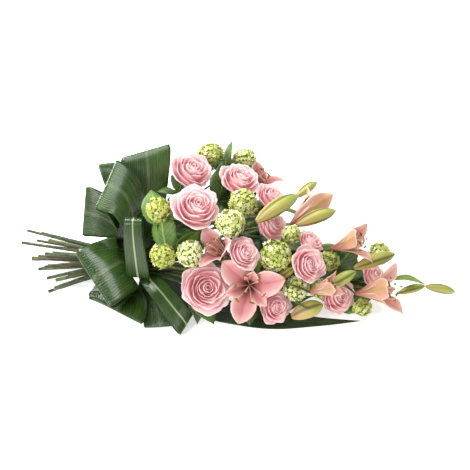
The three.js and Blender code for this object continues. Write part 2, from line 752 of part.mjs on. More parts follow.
function smooth(line, share) {
  for (let k = 1; k + 1 < line.points.length; k += 1) {
    if (isFree(line, k)) {
      line.points[k].lerp(between(line.points[k - 1], line.points[k + 1], 0.5), share);
    }
  }
}

// Bends stems and twigs clear of each other and of the heads
function bendClear(passes) {
  for (let pass = 0; pass < passes; pass += 1) {
    plants.forEach((plant, i) => {
      for (const line of plant.lines) {
        for (const other of plants.slice(0, i).flatMap((each) => each.lines)) {
          partLines(line, other);
        }
        for (const each of heads) {
          if (each !== line.carries) {
            leaveHead(line, each);
          }
        }
        if (pass < passes * BENDING.smoothed) {
          smooth(line, BENDING.stiffness);
        }
        line.points.filter((_, k) => isFree(line, k)).forEach((p) => p.setZ(Math.max(p.z, STEM.lowest)));
      }
    });
  }
}

// Solids of the stems with all that is fused to them

// A neck widens from its first to its second distance below the flower
const NECK = [13, 6];

function stemSolid(plant, draw) {
  const [stem, ...twigs] = plant.lines;
  const { kind } = plant;
  const thin = UPPER_RADIUS[kind];
  const count = stem.points.length;
  const radii = stem.points.map((_, k) => {
    return k < 2 ? CUT_RADIUS[kind] : STEM.waist + ((thin - STEM.waist) * Math.max(0, k - 3)) / (count - 4);
  });
  const spine = [...stem.points];
  const { carries } = stem;
  if (carries) {
    const seat = spine.pop();
    radii.pop();
    const wide = carries.kind === 'bloom' ? carries.across * BLOOM[0].r : CUP.base;
    spine.push(...NECK.map((distance) => along(seat, carries.axis, -distance)), seat);
    radii.push(thin, wide, wide);
  }
  const pieces = [];
  plant.loads = [];
  if (carries) {
    pieces.push(rod(spine, radii, STEM.sides, carries.axis, [2, 3]));
  }
  for (const [k, twig] of twigs.entries()) {
    const { carries: load, points } = twig;
    const sunk = load.kind === 'bud' ? along(load.base, load.axis, 2) : points[points.length - 1];
    const line = [...points.slice(1, -1), sunk];
    const slim = TWIG_RADIUS[kind];
    const widths = line.map((_, i) => (load.kind === 'flower' && i === line.length - 1 ? 3.2 : slim));
    if (k === 0) {
      pieces.push(rod([...spine, ...line], [...radii, ...widths], STEM.sides, load.axis, [2, 3]));
    } else {
      pieces.push(rod([points[0], ...line], [slim, ...widths], 4, load.axis));
    }
    if (load.kind === 'bud') {
      plant.loads.push(lilyBud(load));
    }
    if (load.kind === 'snowball') {
      plant.loads.push(snowball(load.centre, load.r, 6 * draw()));
    }
  }
  return fuse([...pieces, ...plant.loads]);
}

// Leaves on the stems: width and rows in parts of the leaf's length
const SMALL_LEAF = {
  rose: { widths: [0.05, 0.62, 0.56, 0.03], bow: 0.14, crease: 0.1 },
  spray: { widths: [0.05, 0.64, 0.58, 0.04], bow: 0.12, crease: 0.08 },
  lily: { widths: [0.06, 0.22, 0.2, 0.03], bow: 0.16, crease: 0.12 },
};
const LEAF_STEPS = [0, 0.3, 0.68, 1];
const LEAF_LENGTH = { least: 40, most: 96 };

function smallLeaf(kind, root, tip, roll, extra) {
  const { widths, bow, crease } = SMALL_LEAF[kind];
  const heading = tip.clone().sub(root);
  const length = heading.length();
  heading.normalize();
  const lift = squareTo(heading, point(0, 0, 1)).applyAxisAngle(heading, degrees(roll));
  const spine = LEAF_STEPS.map((t) => along(between(root, tip, t), lift, bow * length * 4 * t * (1 - t)));
  const side = heading.clone().cross(lift);
  const across = widths.map((width) => width * length);
  return ribbon(spine, headings(spine), spine.map(() => side), across, -crease, LEAF.small + extra);
}

// A leaf takes the first root, turn and length that leave it clear of all that is there
function growLeaf(plant, wished, isClear) {
  const tip = place(wished);
  const roots = plant.lines.flatMap((line) => line.points.slice(line.fixed, -1));
  roots.sort((a, b) => a.distanceTo(tip) - b.distanceTo(tip));
  for (const root of roots.slice(0, 4)) {
    const far = Math.min(Math.max(root.distanceTo(tip), LEAF_LENGTH.least), LEAF_LENGTH.most);
    const heading = tip.clone().sub(root).normalize();
    for (const share of [1, 0.8]) {
      for (const roll of [0, 40, -40, 80, -80]) {
        const end = along(root, heading, far * share);
        if (isClear(smallLeaf(plant.kind, root, end, roll, 2 * GAP))) {
          return smallLeaf(plant.kind, root, end, roll, 0);
        }
      }
    }
  }
  return null;
}

// Folded and flat leaves with their tails in the binding

function tailPoint(angle, radius, x) {
  const turn = degrees(angle);
  return point(x, BINDING.y + radius * Math.cos(turn), BINDING.z + radius * Math.sin(turn));
}

// Two points for each stretch of a curve through the places, one for the first and the last
function fineLine(places) {
  const curve = new THREE.CatmullRomCurve3(places, false, 'centripetal');
  const spans = places.length - 1;
  const stops = [0, 1];
  for (let k = 2; k < spans; k += 1) {
    stops.push(k - 0.5, k);
  }
  stops.push(spans);
  return stops.map((stop) => curve.getPoint(stop / spans));
}

function lengthsAlong(spine) {
  let sum = 0;
  return spine.map((p, k) => {
    sum += k ? p.distanceTo(spine[k - 1]) : 0;
    return sum;
  });
}

// Both layers follow the midrib from the binding, and a half round joins them at the fold
function foldedLeaf({ fold, along: crest, width, tail, side, fat, path, taper = LEAF.taper }) {
  const spine = fineLine([
    tailPoint(tail, TAIL.radius, -side * TAIL.end),
    tailPoint(tail, TAIL.radius, side * TAIL.out),
    ...path.map(place),
    place(fold),
  ]);
  const axes = headings(spine, [0]);
  const runs = lengthsAlong(spine);
  const round = tailPoint(tail + 90, 1, 0).sub(BINDING);
  const line = place(crest).normalize();
  const match = round.dot(line) < 0 ? line.negate() : line;
  const steps = spine.map((centre, k) => {
    const share = Math.max(0, (runs[k] - runs[1]) / (runs[runs.length - 1] - runs[1]));
    const wished = between(round, match, Math.min(1, share * LEAF.twist));
    const across = squareTo(axes[k], wished).lerp(match, share ** 3).normalize();
    const normal = across.clone().cross(axes[k]).normalize();
    const apart = TAIL.leg + (fat / 2 - TAIL.leg) * Math.min(1, share * LEAF.twist);
    return { centre, across, normal, apart, width: TAIL.width + (width - TAIL.width) * share ** taper };
  });
  const last = steps.pop();
  const forward = axes[axes.length - 1];
  const turn = along(last.centre, forward, -fat / 2);
  const bend = FOLD_TURNS.map((angle) => {
    const [out, ahead] = [Math.cos(degrees(angle)), Math.sin(degrees(angle))];
    const centre = along(along(turn, last.normal, (out * fat) / 2), forward, (ahead * fat) / 2);
    return { ...last, centre, apart: 0 };
  });
  const layer = (way) => steps.map((step) => {
    return { ...step, centre: along(step.centre, step.normal, way * step.apart) };
  });
  const rows = [...layer(1), ...bend, ...layer(-1).reverse()].map((step) => {
    return [-1, 0, 1].map((t) => along(step.centre, step.across, (t * step.width) / 2));
  });
  return blade(rows, LEAF.fold);
}

function baseLeaf({ tail, width, line }) {
  const spine = fineLine([
    tailPoint(tail, BASE_LEAF.tailRadius, -TAIL.end),
    tailPoint(tail, BASE_LEAF.tailRadius, TAIL.out),
    ...line.map(place),
  ]);
  const low = LEAF.base / 2;
  spine.forEach((p) => p.setZ(Math.max(p.z, low)));
  const axes = headings(spine, [0, 1]);
  axes.filter((_, k) => spine[k].z <= low).forEach((axis) => axis.setZ(0).normalize());
  const runs = lengthsAlong(spine);
  const round = tailPoint(tail + 90, 1, 0).sub(BINDING);
  const total = runs[runs.length - 1];
  const sides = runs.map((run) => {
    const share = Math.min(1, Math.max(0, (run - runs[1]) / BASE_LEAF.turnsIn));
    return round.clone().lerp(ACROSS, share);
  });
  const widths = runs.map((run) => {
    const share = Math.max(0, (run - runs[1]) / (total - runs[1]));
    const body = Math.sin(Math.PI * share ** BASE_LEAF.fullest) ** BASE_LEAF.point;
    return TAIL.width * (1 - share) + width * body;
  });
  return ribbon(spine, axes, sides, widths, 0, LEAF.base);
}

// The binding: rounds of cord laid side by side into one ring
function bindingSolid() {
  const half = (TIE.wraps * TIE.cord) / 2;
  const profile = [new THREE.Vector2(TIE.inner, -half)];
  for (let k = 0; k < TIE.wraps; k += 1) {
    const start = -half + k * TIE.cord;
    profile.push(new THREE.Vector2(TIE.inner + TIE.depth * 0.7, start));
    profile.push(new THREE.Vector2(TIE.inner + TIE.depth, start + TIE.cord * 0.5));
  }
  profile.push(new THREE.Vector2(TIE.inner + TIE.depth * 0.7, half));
  profile.push(new THREE.Vector2(TIE.inner, half));
  profile.push(new THREE.Vector2(TIE.inner, -half));
  const geometry = new THREE.LatheGeometry(profile, TIE.sides);
  geometry.rotateZ(-Math.PI / 2);
  geometry.translate(...TIE.at);
  return toSolid(geometry);
}

// Colours of the pieces

const finish = (color, roughness) => new THREE.MeshStandardMaterial({ color, roughness, metalness: 0 });
const PINK_PETAL = finish('#eda9b4', 0.6);
const LILY_PETAL = finish('#d5837f', 0.5);
const GREEN_STEM = finish('#5d7431', 0.55);
const LILY_GREEN = finish('#98a33f', 0.5);
const SNOWBALL_GREEN = finish('#c9d37c', 0.7);
const GLOSSY_LEAF = finish('#2c4f23', 0.3);
const TWINE = finish('#8d7a52', 0.9);

// The pieces so far, by name, with the boxes round them
const pieces = new Map();

function add(name, solid, material) {
  pieces.set(name, { solid, material, box: solid.boundingBox() });
}

function clearOf(own) {
  return (solid) => {
    const box = solid.boundingBox();
    const meets = (other) => [0, 1, 2].every((k) => box.min[k] < other.max[k] && box.max[k] > other.min[k]);
    return [...pieces].every(([name, other]) => {
      return name === own || !meets(other.box) || solid.intersect(other.solid).volume() < 1e-6;
    });
  };
}

const numbered = (word, k) => `${word}_${String(k + 1).padStart(2, '0')}`;

function build() {
  spreadHeads(BENDING.spreads);
  giveSlots();
  const draw = seeded(11);
  for (const plant of plants) {
    layOut(plant, draw);
  }
  bendClear(BENDING.passes);
  const counts = { rose: 0, lily: 0, spray: 0 };
  const words = { rose: 'rose_stem', lily: 'lily_stem', spray: 'snowball_spray' };
  const greens = { rose: GREEN_STEM, lily: LILY_GREEN, spray: SNOWBALL_GREEN };
  let bloomCount = 0;
  for (const plant of plants) {
    plant.name = numbered(words[plant.kind], counts[plant.kind]);
    counts[plant.kind] += 1;
    add(plant.name, stemSolid(plant, draw), greens[plant.kind]);
    for (const bloom of plant.heads.filter((each) => each.kind === 'bloom')) {
      add(numbered('rose_bloom', bloomCount), roseBloom(bloom, 6 * draw()), PINK_PETAL);
      bloomCount += 1;
    }
  }
  for (const leaf of FOLDED) {
    add(`folded_leaf_${leaf.name}`, foldedLeaf(leaf), GLOSSY_LEAF);
  }
  BASE_LEAVES.forEach((leaf, k) => add(numbered('base_leaf', k), baseLeaf(leaf), GLOSSY_LEAF));
  add('binding', bindingSolid(), TWINE);
  heads.filter((each) => each.kind === 'flower').forEach((flower, k) => {
    const name = numbered('lily_flower', k);
    flower.spin = draw();
    add(name, lilyFlower(flower, clearOf(name)), LILY_PETAL);
  });
  for (const plant of plants) {
    for (const tip of plant.leaves) {
      const isClear = clearOf(plant.name);
      const offLoads = (solid) => plant.loads.every((load) => solid.intersect(load).volume() < 1e-6);
      const leaf = growLeaf(plant, tip, (solid) => isClear(solid) && offLoads(solid));
      if (leaf) {
        add(plant.name, fuse([pieces.get(plant.name).solid, leaf]), greens[plant.kind]);
      }
    }
  }
}

build();

const sheaf = new THREE.Group();
for (const [name, { solid, material }] of pieces) {
  const mesh = new THREE.Mesh(toGeometry(solid), material);
  mesh.name = name;
  sheaf.add(mesh);
}

// The part's origin is below the middle of its box, on the surface that it lies on
const box = new THREE.Box3().setFromObject(sheaf);
const middle = box.getCenter(new THREE.Vector3());
sheaf.position.set(-middle.x, -middle.y, -box.min.z);

const funeralSheaf = new THREE.Group();
funeralSheaf.add(sheaf);

export default funeralSheaf;
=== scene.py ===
"""Looks of the funeral sheaf: roses, lilies and snowball viburnum tied among folded aspidistra leaves.

Shapes are made in millimetres round the binding, as in the part's source, and are moved to the
frame's metres when they become meshes.
"""

import random
from math import ceil, cos, exp, pi, radians, sin, sqrt
from types import SimpleNamespace as Sizes

import bmesh
import bpy
import numpy as np
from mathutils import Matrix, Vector
from mathutils.kdtree import KDTree


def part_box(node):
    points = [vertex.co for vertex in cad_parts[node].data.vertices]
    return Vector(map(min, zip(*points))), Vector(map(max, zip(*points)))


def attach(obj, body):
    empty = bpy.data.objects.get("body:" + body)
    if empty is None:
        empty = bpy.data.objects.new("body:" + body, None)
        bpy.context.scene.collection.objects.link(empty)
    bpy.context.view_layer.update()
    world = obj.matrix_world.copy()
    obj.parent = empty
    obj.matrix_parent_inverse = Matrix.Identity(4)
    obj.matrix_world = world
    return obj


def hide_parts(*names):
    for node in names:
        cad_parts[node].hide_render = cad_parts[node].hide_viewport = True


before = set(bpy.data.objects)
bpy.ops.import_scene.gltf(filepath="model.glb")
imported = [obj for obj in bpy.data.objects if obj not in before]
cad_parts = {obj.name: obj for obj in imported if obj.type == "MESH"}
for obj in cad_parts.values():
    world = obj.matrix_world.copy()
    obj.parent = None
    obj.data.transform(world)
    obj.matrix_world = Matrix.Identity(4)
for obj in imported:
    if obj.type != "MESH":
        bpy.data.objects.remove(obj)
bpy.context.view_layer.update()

# Places and sizes, as in the part's source

GAP = 0.3
BINDING = np.array([0.0, 0.0, 45.0])
TIE = Sizes(inner=24.6, wraps=3, cord=6.0, depth=3.2)
BLOOM = Sizes(radius=0.5, height=0.27, depth=0.255)
FLOWER = Sizes(narrow=0.14, opens=0.2, height=0.34, depth=0.36)
SNOWBALL_LIFT = 0.35
SPREAD_PASSES = 60
SEED = 11

# Blooms: width, middle, the way it faces
ROSES = [
    (84, (96, 78, 200), (0.43, -0.24, 0.87)),
    (88, (119, -52, 201), (0.24, -0.38, 0.89)),
    (74, (183, 74, 190), (0.33, -0.23, 0.92)),
    (90, (170, -113, 85), (0.29, -0.74, 0.6)),
    (60, (221, -77, 160), (0.56, -0.43, 0.71)),
    (65, (256, -35, 172), (0.69, -0.27, 0.67)),
    (66, (308, -78, 119), (0.52, -0.58, 0.63)),
    (62, (268, -103, 60), (0.53, -0.68, 0.51)),
    (70, (372, -70, 61), (0.58, -0.65, 0.5)),
    (60, (242, 50, 171), (0.52, -0.09, 0.85)),
    (50, (315, -42, 149), (0.52, -0.09, 0.85)),
    (50, (424, -34, 87), (0.53, -0.23, 0.82)),
]

# Lily stems: flowers as base, way, length, opening and how peachy they are, and buds as base, tip, width
# and how brown they are
LILIES = [
    (
        [
            ((208, -82, 66), (0.05, -0.86, 0.5), 88, 88, 0.0),
            ((186, -72, 140), (-0.52, -0.46, 0.72), 66, 58, 0.0),
        ],
        [((276, -90, 106), (305, -74, 124), 16, 0.6)],
    ),
    ([((206, 120, 130), (0.3, 0.12, 0.94), 62, 66, 0.25)], []),
    (
        [((281, 7, 146), (0.6, 0.78, 0.14), 92, 24, 0.9)],
        [
            ((284, 88, 150), (319, 122, 163), 18, 0.0),
            ((222, -76, 180), (286, 0, 188), 29, 0.25),
            ((281, -56, 154), (347, -11, 159), 25, 0.45),
        ],
    ),
    (
        [
            ((358, -40, 111), (0.86, -0.1, 0.42), 76, 44, 0.8),
            ((308, -84, 102), (0.9, -0.05, 0.42), 58, 26, 0.85),
        ],
        [((378, -66, 98), (447, -17, 98), 24, 0.3)],
    ),
    (
        [((394, -68, 55), (0.93, -0.12, 0.34), 92, 50, 0.55)],
        [((523, -22, 51), (577, -9, 33), 18, 0.0), ((476, -46, 50), (524, -20, 51), 16, 0.0)],
    ),
    ([], [((343, -87, 70), (391, -64, 95), 22, 0.0), ((291, -101, 35), (344, -89, 58), 31, 0.9)]),
]

# Sprays of snowball viburnum: radius and middle of each head, and how pale it is
SPRAYS = [
    [(22, 72, -48, 198, 0.2), (22, 70, -104, 138, 0.15), (23.5, 118, -101, 145, 0.75)],
    [(25, 122, 140, 195, 0.35), (23.5, 182, 154, 180, 0.65)],
    [(25, 180, -76, 176, 0.7), (26, 199, -12, 196, 0.45)],
    [(29, 262, -72, 141, 0.4), (22, 312, -92, 76, 0.7)],
    [(16.5, 296, -48, 154, 0.35), (18, 361, -44, 122, 0.3), (16.5, 340, -84, 83, 0.45)],
    [(20, 438, 2, 90, 0.5), (16.5, 412, -73, 46, 0.3)],
]

TAIL = Sizes(radius=21.9, leg=0.95, width=7.5, end=10, out=12)
LEAF = Sizes(fold=1.0, base=1.2, small=0.8, taper=0.66, twist=3.2)
BASE_LEAF = Sizes(radius=22.9, turns_in=60, fullest=0.8, point=1.1)
NOSE = Sizes(length=40, share=0.45, fuller=1.35, corner=0.05, round=5.0)

# Folded leaves: middle and direction of the fold, its width, angle of the tail round the binding, the side
# that it leaves from, how fat the leaf is, places of the midrib, and how fast it widens, where that isn't
# LEAF's taper
FOLDED = {
    "back_top": ((6, 120, 209), (84, 47, 8), 96, 15, 1, 16, [(18, 48, 92), (10, 92, 164)]),
    "top": ((-50, 26, 194), (-27, -97, -52), 106, 75, -1, 12, [(-17, 0, 98), (-10, 4, 136), (-20, 19, 172)]),
    "left": ((-101, 54, 113), (-6, -34, -88), 96, 45, -1, 10, [(-26, 38, 78), (-45, 48, 96), (-77, 52, 109)]),
    "back_left": ((-54, 127, 176), (66, 14, 6), 64, 345, -1, 10, [(-21, 62, 64), (-39, 104, 123)]),
    "front_left": ((-58, -92, 67), (88, -97, -58), 128, 165, -1, 14, [(-22, -38, 62), (-39, -68, 67)], 0.13),
    "low_left": ((-15, -108, 15), (103, -61, -4), 120, 195, -1, 6, [(-26, -40, 15), (-19, -76, 14)], 0.35),
    "low_middle": ((66, -130, 4.5), (60, 12, 1), 58, 255, 1, 3, [(30, -40, 8), (56, -94, 4.5)], 0.5),
    "low_front": ((113, -134, 16), (14, 29, 15), 44, 225, 1, 10, [(48, -58, 36), (96, -118, 26)], 0.25),
    "inner": ((60, -6, 150), (40, -4, 0), 66, 105, 1, 8, [(22, 5, 90), (48, 0, 128)], 0.95),
    "collar": (
        (18, -65, 60), (1, 0, 0), 42, 135, 1, 3,
        [(20, -37, 74), (14, -36, 110), (11, -36, 160), (10, -44, 168), (11, -54, 148), (15, -63, 100)],
    ),
}
RIBBED = ("collar", "low_front")

# Broad leaves below: angle of the tail, width, midrib from the binding to the tip
BASE_LEAVES = [
    (285, 60, [(55, -8, 6.5), (120, -50, 0.6), (230, -82, 0.6), (340, -80, 0.6), (414, -72, 3)]),
    (315, 70, [(55, 27, 6), (120, 52, 0.6), (220, 69, 0.6), (320, 60, 0.6), (400, 40, 3)]),
]


# Directions, lines and random draws

ALONG, ACROSS, UP = np.eye(3)
ANY_TURN = 6.28


def vec(places):
    return np.asarray(places, float)


# The frame's metres for a place in the source's millimetres
low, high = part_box("binding")
SHIFT = (vec(low) + vec(high)) / 2 - BINDING / 1000


def metres(points):
    return vec(points) / 1000 + SHIFT


def millimetres(points):
    return (vec(points) - SHIFT) * 1000


def size(v):
    return float(np.linalg.norm(v))


def unit(v):
    return vec(v) / size(v)


def moved(place, *steps):
    """A place, or many, moved by amounts along directions."""
    for amount, way in steps:
        place = place + np.asarray(amount)[..., None] * way
    return place


def seeded(seed):
    """The same draws as in the part's source."""
    state = seed
    while True:
        state = (state * 1664525 + 1013904223) % 4294967296
        yield state / 4294967296


def any_way(draw):
    return np.array([draw.uniform(-1, 1) for _ in range(3)])


def square_to(axis, wished):
    """A direction square to an axis, as close as it can be to a wished one."""
    rest = wished - axis * np.dot(wished, axis)
    if size(rest) < 0.05:
        return square_to(axis, np.roll(wished, -1))
    return rest / size(rest)


def sides_of(axis):
    """Two directions square to an axis and to each other."""
    side = square_to(axis, ACROSS)
    return side, np.cross(axis, side)


def turned(v, axis, angle):
    kept = axis * np.dot(axis, v) * (1 - cos(angle))
    return v * cos(angle) + np.cross(axis, v) * sin(angle) + kept


def directions(line):
    ways = np.gradient(line, axis=0)
    return ways / np.linalg.norm(ways, axis=1, keepdims=True)


def run_along(line):
    """How far along a line each of its points is."""
    return np.concatenate([[0], np.cumsum(np.linalg.norm(np.diff(line, axis=0), axis=1))])


def smoothstep(t):
    t = np.clip(t, 0, 1)
    return t * t * (3 - 2 * t)


def grid_uv(v, u):
    """Places on a surface whose rows are at v and whose columns are at u."""
    v, u = np.meshgrid(v, u, indexing="ij")
    return np.stack([u, v], -1)


# Meshes

def placed(name, data):
    made = bpy.data.objects.new(name, data)
    bpy.context.scene.collection.objects.link(made)
    return made


def dressed(mesh, materials):
    """A mesh as an object with materials and smooth shading."""
    for material in materials:
        mesh.materials.append(material)
    mesh.polygons.foreach_set("use_smooth", np.ones(len(mesh.polygons), bool))
    return placed(mesh.name, mesh)


class Shape:
    """Points in millimetres with a place on their surface, a tone, and faces with a material each."""

    def __init__(self):
        self.points, self.uv, self.tone, self.faces, self.slots = [], [], [], [], []
        self.count = 0

    def add(self, points, faces, uv, tone=0.0, slot=0):
        """More points and faces, with one tone or a tone for each point."""
        points = points.reshape(-1, 3)
        self.points.append(points)
        self.uv.append(uv.reshape(-1, 2))
        self.tone.append(np.broadcast_to(tone, len(points)))
        self.faces += [tuple(int(k) + self.count for k in face) for face in faces]
        self.slots += [slot] * len(faces)
        self.count += len(points)

    def sheet(self, grid, uv, thickness, tone=0.0, slot=0):
        """A thin closed skin over a grid of points, with one tone, or a tone for each of its sides."""
        normal = np.cross(np.gradient(grid, axis=0), np.gradient(grid, axis=1))
        length = np.linalg.norm(normal, axis=2, keepdims=True)
        normal = np.where(length > 1e-9, normal / np.maximum(length, 1e-9), [0.0, 0.0, 1.0])
        sides = np.stack([grid + normal * thickness / 2, grid - normal * thickness / 2])
        half = grid.shape[0] * grid.shape[1]
        k = np.arange(half).reshape(grid.shape[:2])
        p, q, r, s = k[:-1, :-1], k[:-1, 1:], k[1:, 1:], k[1:, :-1]
        skins = np.stack([p, s, r, q, p + half, q + half, r + half, s + half], -1).reshape(-1, 4)
        rim = np.concatenate([k[0, :-1], k[:-1, -1], k[-1, :0:-1], k[:0:-1, 0]])
        after = np.roll(rim, -1)
        edge = np.stack([rim, after, after + half, rim + half], -1)
        tones = np.repeat(np.broadcast_to(tone, 2), half)
        self.add(sides, [*skins, *edge], np.stack([uv, uv]), tones, slot)

    def rings(self, rings, uv, tone=0.0, slot=0):
        """A closed skin over rings of the same number of points, with a middle point on each end."""
        p = np.arange(rings.shape[0] * rings.shape[1]).reshape(rings.shape[:2])
        q = np.roll(p, -1, axis=1)
        faces = [*np.stack([p[:-1], q[:-1], q[1:], p[1:]], -1).reshape(-1, 4)]
        for a, b, c, d in zip(p[0], q[0], p[-1], q[-1]):
            faces += [(p.size, b, a), (p.size + 1, c, d)]
        points = np.concatenate([rings.reshape(-1, 3), rings[:1].mean(1), rings[-1:].mean(1)])
        self.add(points, faces, np.concatenate([uv.reshape(-1, 2), uv[:1, 0], uv[-1:, -1]]), tone, slot)

    def tube(self, line, radii, sides, slot=0, wished=ACROSS):
        """A round tube along a line, with u round it and v along it."""
        round_it = np.linspace(0, 1, sides, endpoint=False)
        t = 2 * pi * round_it
        axes = directions(line)
        side = square_to(axes[0], wished)
        rings = []
        for centre, axis, radius in zip(line, axes, radii):
            side = square_to(axis, side)
            rings.append(centre + radius * moved(0, (np.cos(t), side), (np.sin(t), np.cross(axis, side))))
        self.rings(np.array(rings), grid_uv(np.linspace(0, 1, len(line)), round_it), 0.0, slot)

    def build(self, name, materials):
        mesh = bpy.data.meshes.new(name)
        mesh.from_pydata(metres(np.concatenate(self.points)).tolist(), [], self.faces)
        loops = np.empty(len(mesh.loops), np.int32)
        mesh.loops.foreach_get("vertex_index", loops)
        uv = np.concatenate(self.uv).astype(np.float32)
        mesh.uv_layers.new(name="UVMap").data.foreach_set("uv", uv[loops].ravel())
        tone = mesh.attributes.new("tone", "FLOAT", "POINT")
        tone.data.foreach_set("value", np.concatenate(self.tone).astype(np.float32))
        piece = dressed(mesh, materials)
        mesh.polygons.foreach_set("material_index", np.array(self.slots, np.int32))
        mesh.validate()
        mesh.update()
        return piece


def show(piece, node):
    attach(piece, "root")
    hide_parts(node)


# Colours and finishes

def colour(code):
    """Scene colour of a hexadecimal screen colour."""
    parts = [int(code[k:k + 2], 16) / 255 for k in (1, 3, 5)]
    return [*(c / 12.92 if c < 0.04045 else ((c + 0.055) / 1.055) ** 2.4 for c in parts), 1.0]


class Finish:
    """A material with one principled shader and helpers that add nodes to it."""

    def __init__(self, name, **values):
        self.material = bpy.data.materials.new(name)
        self.material.use_nodes = True
        self.tree = self.material.node_tree
        self.shader = next(n for n in self.tree.nodes if n.type == "BSDF_PRINCIPLED")
        for key, value in values.items():
            self.shader.inputs[key.replace("_", " ")].default_value = value

    def node(self, kind, inputs, **settings):
        """A new node, whose inputs are values or other nodes' sockets."""
        made = self.tree.nodes.new(kind)
        for key, value in settings.items():
            setattr(made, key, value)
        for key, value in inputs.items():
            if isinstance(value, bpy.types.NodeSocket):
                self.tree.links.new(value, made.inputs[key])
            else:
                made.inputs[key].default_value = value
        return made

    def maths(self, operation, a, b=0.0):
        return self.node("ShaderNodeMath", {0: a, 1: b}, operation=operation).outputs[0]

    def times(self, a, b):
        return self.maths("MULTIPLY", a, b)

    def over(self, value, least, rate):
        """How far a value is over a least one, times a rate."""
        return self.times(self.maths("SUBTRACT", value, least), rate)

    def span(self, value, start=0.0, end=1.0, low=0.0, high=1.0):
        """Low to high while a value goes from start to end."""
        return self.node("ShaderNodeMapRange", {0: value, 1: start, 2: end, 3: low, 4: high}).outputs[0]

    def uv(self):
        parts = self.node("ShaderNodeSeparateXYZ", {0: self.node("ShaderNodeUVMap", {}).outputs[0]})
        return parts.outputs[0], parts.outputs[1]

    def aside(self, u):
        """How far u is from the middle line."""
        return self.maths("ABSOLUTE", self.maths("SUBTRACT", u, 0.5))

    def place(self):
        return self.node("ShaderNodeTexCoord", {}).outputs["Object"]

    def tone(self):
        return self.node("ShaderNodeAttribute", {}, attribute_name="tone").outputs["Fac"]

    def noise(self, vector, scale, detail=3.0, roughness=0.5):
        inputs = {"Vector": vector, "Scale": scale, "Detail": detail, "Roughness": roughness}
        return self.node("ShaderNodeTexNoise", inputs).outputs["Fac"]

    def streaks(self, u, v, across, along, detail=4.0):
        """Noise drawn out along a surface, with its own pattern for each tone."""
        inputs = {0: self.times(u, across), 1: self.times(v, along), 2: self.tone()}
        return self.noise(self.node("ShaderNodeCombineXYZ", inputs).outputs[0], 1.0, detail)

    def ridges(self, value, power):
        """Broad ridges with narrow grooves between them, one for each whole number."""
        wave = self.maths("ABSOLUTE", self.maths("SINE", self.times(value, pi)))
        return self.maths("POWER", wave, power)

    def ramp(self, value, stops):
        made = self.node("ShaderNodeValToRGB", {"Fac": value})
        elements = made.color_ramp.elements
        while len(elements) < len(stops):
            elements.new(0.5)
        for element, (at, code) in zip(elements, stops.items()):
            element.position = at
            element.color = colour(code)
        return made.outputs[0]

    def blend(self, share, a, b):
        a, b = (colour(side) if isinstance(side, str) else side for side in (a, b))
        return self.node("ShaderNodeMix", {0: share, 6: a, 7: b}, data_type="RGBA").outputs[2]

    def finish(self, base, roughness=None, height=None, strength=0.3, distance=0.001):
        if height is not None:
            bump = {"Strength": strength, "Distance": distance, "Height": height}
            height = self.node("ShaderNodeBump", bump).outputs[0]
        for socket, value in (("Base Color", base), ("Roughness", roughness), ("Normal", height)):
            if value is not None:
                self.tree.links.new(value, self.shader.inputs[socket])
        return self.material


def rose_finish():
    """Pink petals, warmer low down, pale along the rim, with fine veins from base to rim, and a faint painted
    glow.
    """
    # The petals glow faintly pink by themselves: painted light that stands in for light shining through them
    # and lightens their shade.
    f = Finish(
        "rose_petal", Subsurface_Weight=0.55, Subsurface_Scale=0.012, Subsurface_Radius=(1.0, 0.5, 0.45),
        Emission_Strength=0.075, Emission_Color=(1.0, 0.5, 0.53, 1.0),
    )
    u, v = f.uv()
    body = f.ramp(v, {0: "#dd9a92", 0.3: "#e28c98", 0.6: "#e8a2ab", 0.82: "#edb7bb", 1: "#f3d0cc"})
    veins = f.streaks(u, v, 22.0, 2.5)
    body = f.blend(f.over(veins, 0.42, 0.5), body, "#e48a98")
    body = f.blend(f.times(f.tone(), 0.35), body, "#e38293")
    body = f.blend(f.over(f.noise(f.place(), 40.0), 0.42, 0.6), body, "#fbdfd9")
    return f.finish(body, f.span(veins, low=0.5, high=0.68), veins, 0.25, 0.0006)


def lily_finish(name, body_stops, inner_stops, vein, throat):
    """A lily tepal: darker midrib, pale edges, a deep throat with spots. The inside has tones from 1 up."""
    f = Finish(name, Subsurface_Weight=0.2, Subsurface_Scale=0.005, Subsurface_Radius=(1.0, 0.5, 0.4))
    u, v = f.uv()
    outer, inner = (f.ramp(f.times(f.aside(u), 2.0), stops) for stops in (body_stops, inner_stops))
    body = f.blend(f.maths("GREATER_THAN", f.tone(), 1.0), outer, inner)
    lines = f.streaks(u, v, 34.0, 2.0)
    body = f.blend(f.over(lines, 0.4, 0.8), body, vein)
    depth = f.maths("SUBTRACT", 1.0, f.span(v, 0.12, 0.5))
    body = f.blend(f.times(depth, 0.85), body, throat)
    body = f.blend(f.span(v, 0.8, 1.05, high=0.5), body, "#e6d3b4")
    spots = f.node("ShaderNodeTexVoronoi", {"Vector": f.place(), "Scale": 420.0}).outputs["Distance"]
    dots = f.times(f.maths("LESS_THAN", spots, 0.2), f.times(depth, 0.6))
    body = f.blend(dots, body, "#7a2f33")
    return f.finish(body, f.span(lines, low=0.4, high=0.56), lines, 0.3, 0.0008)


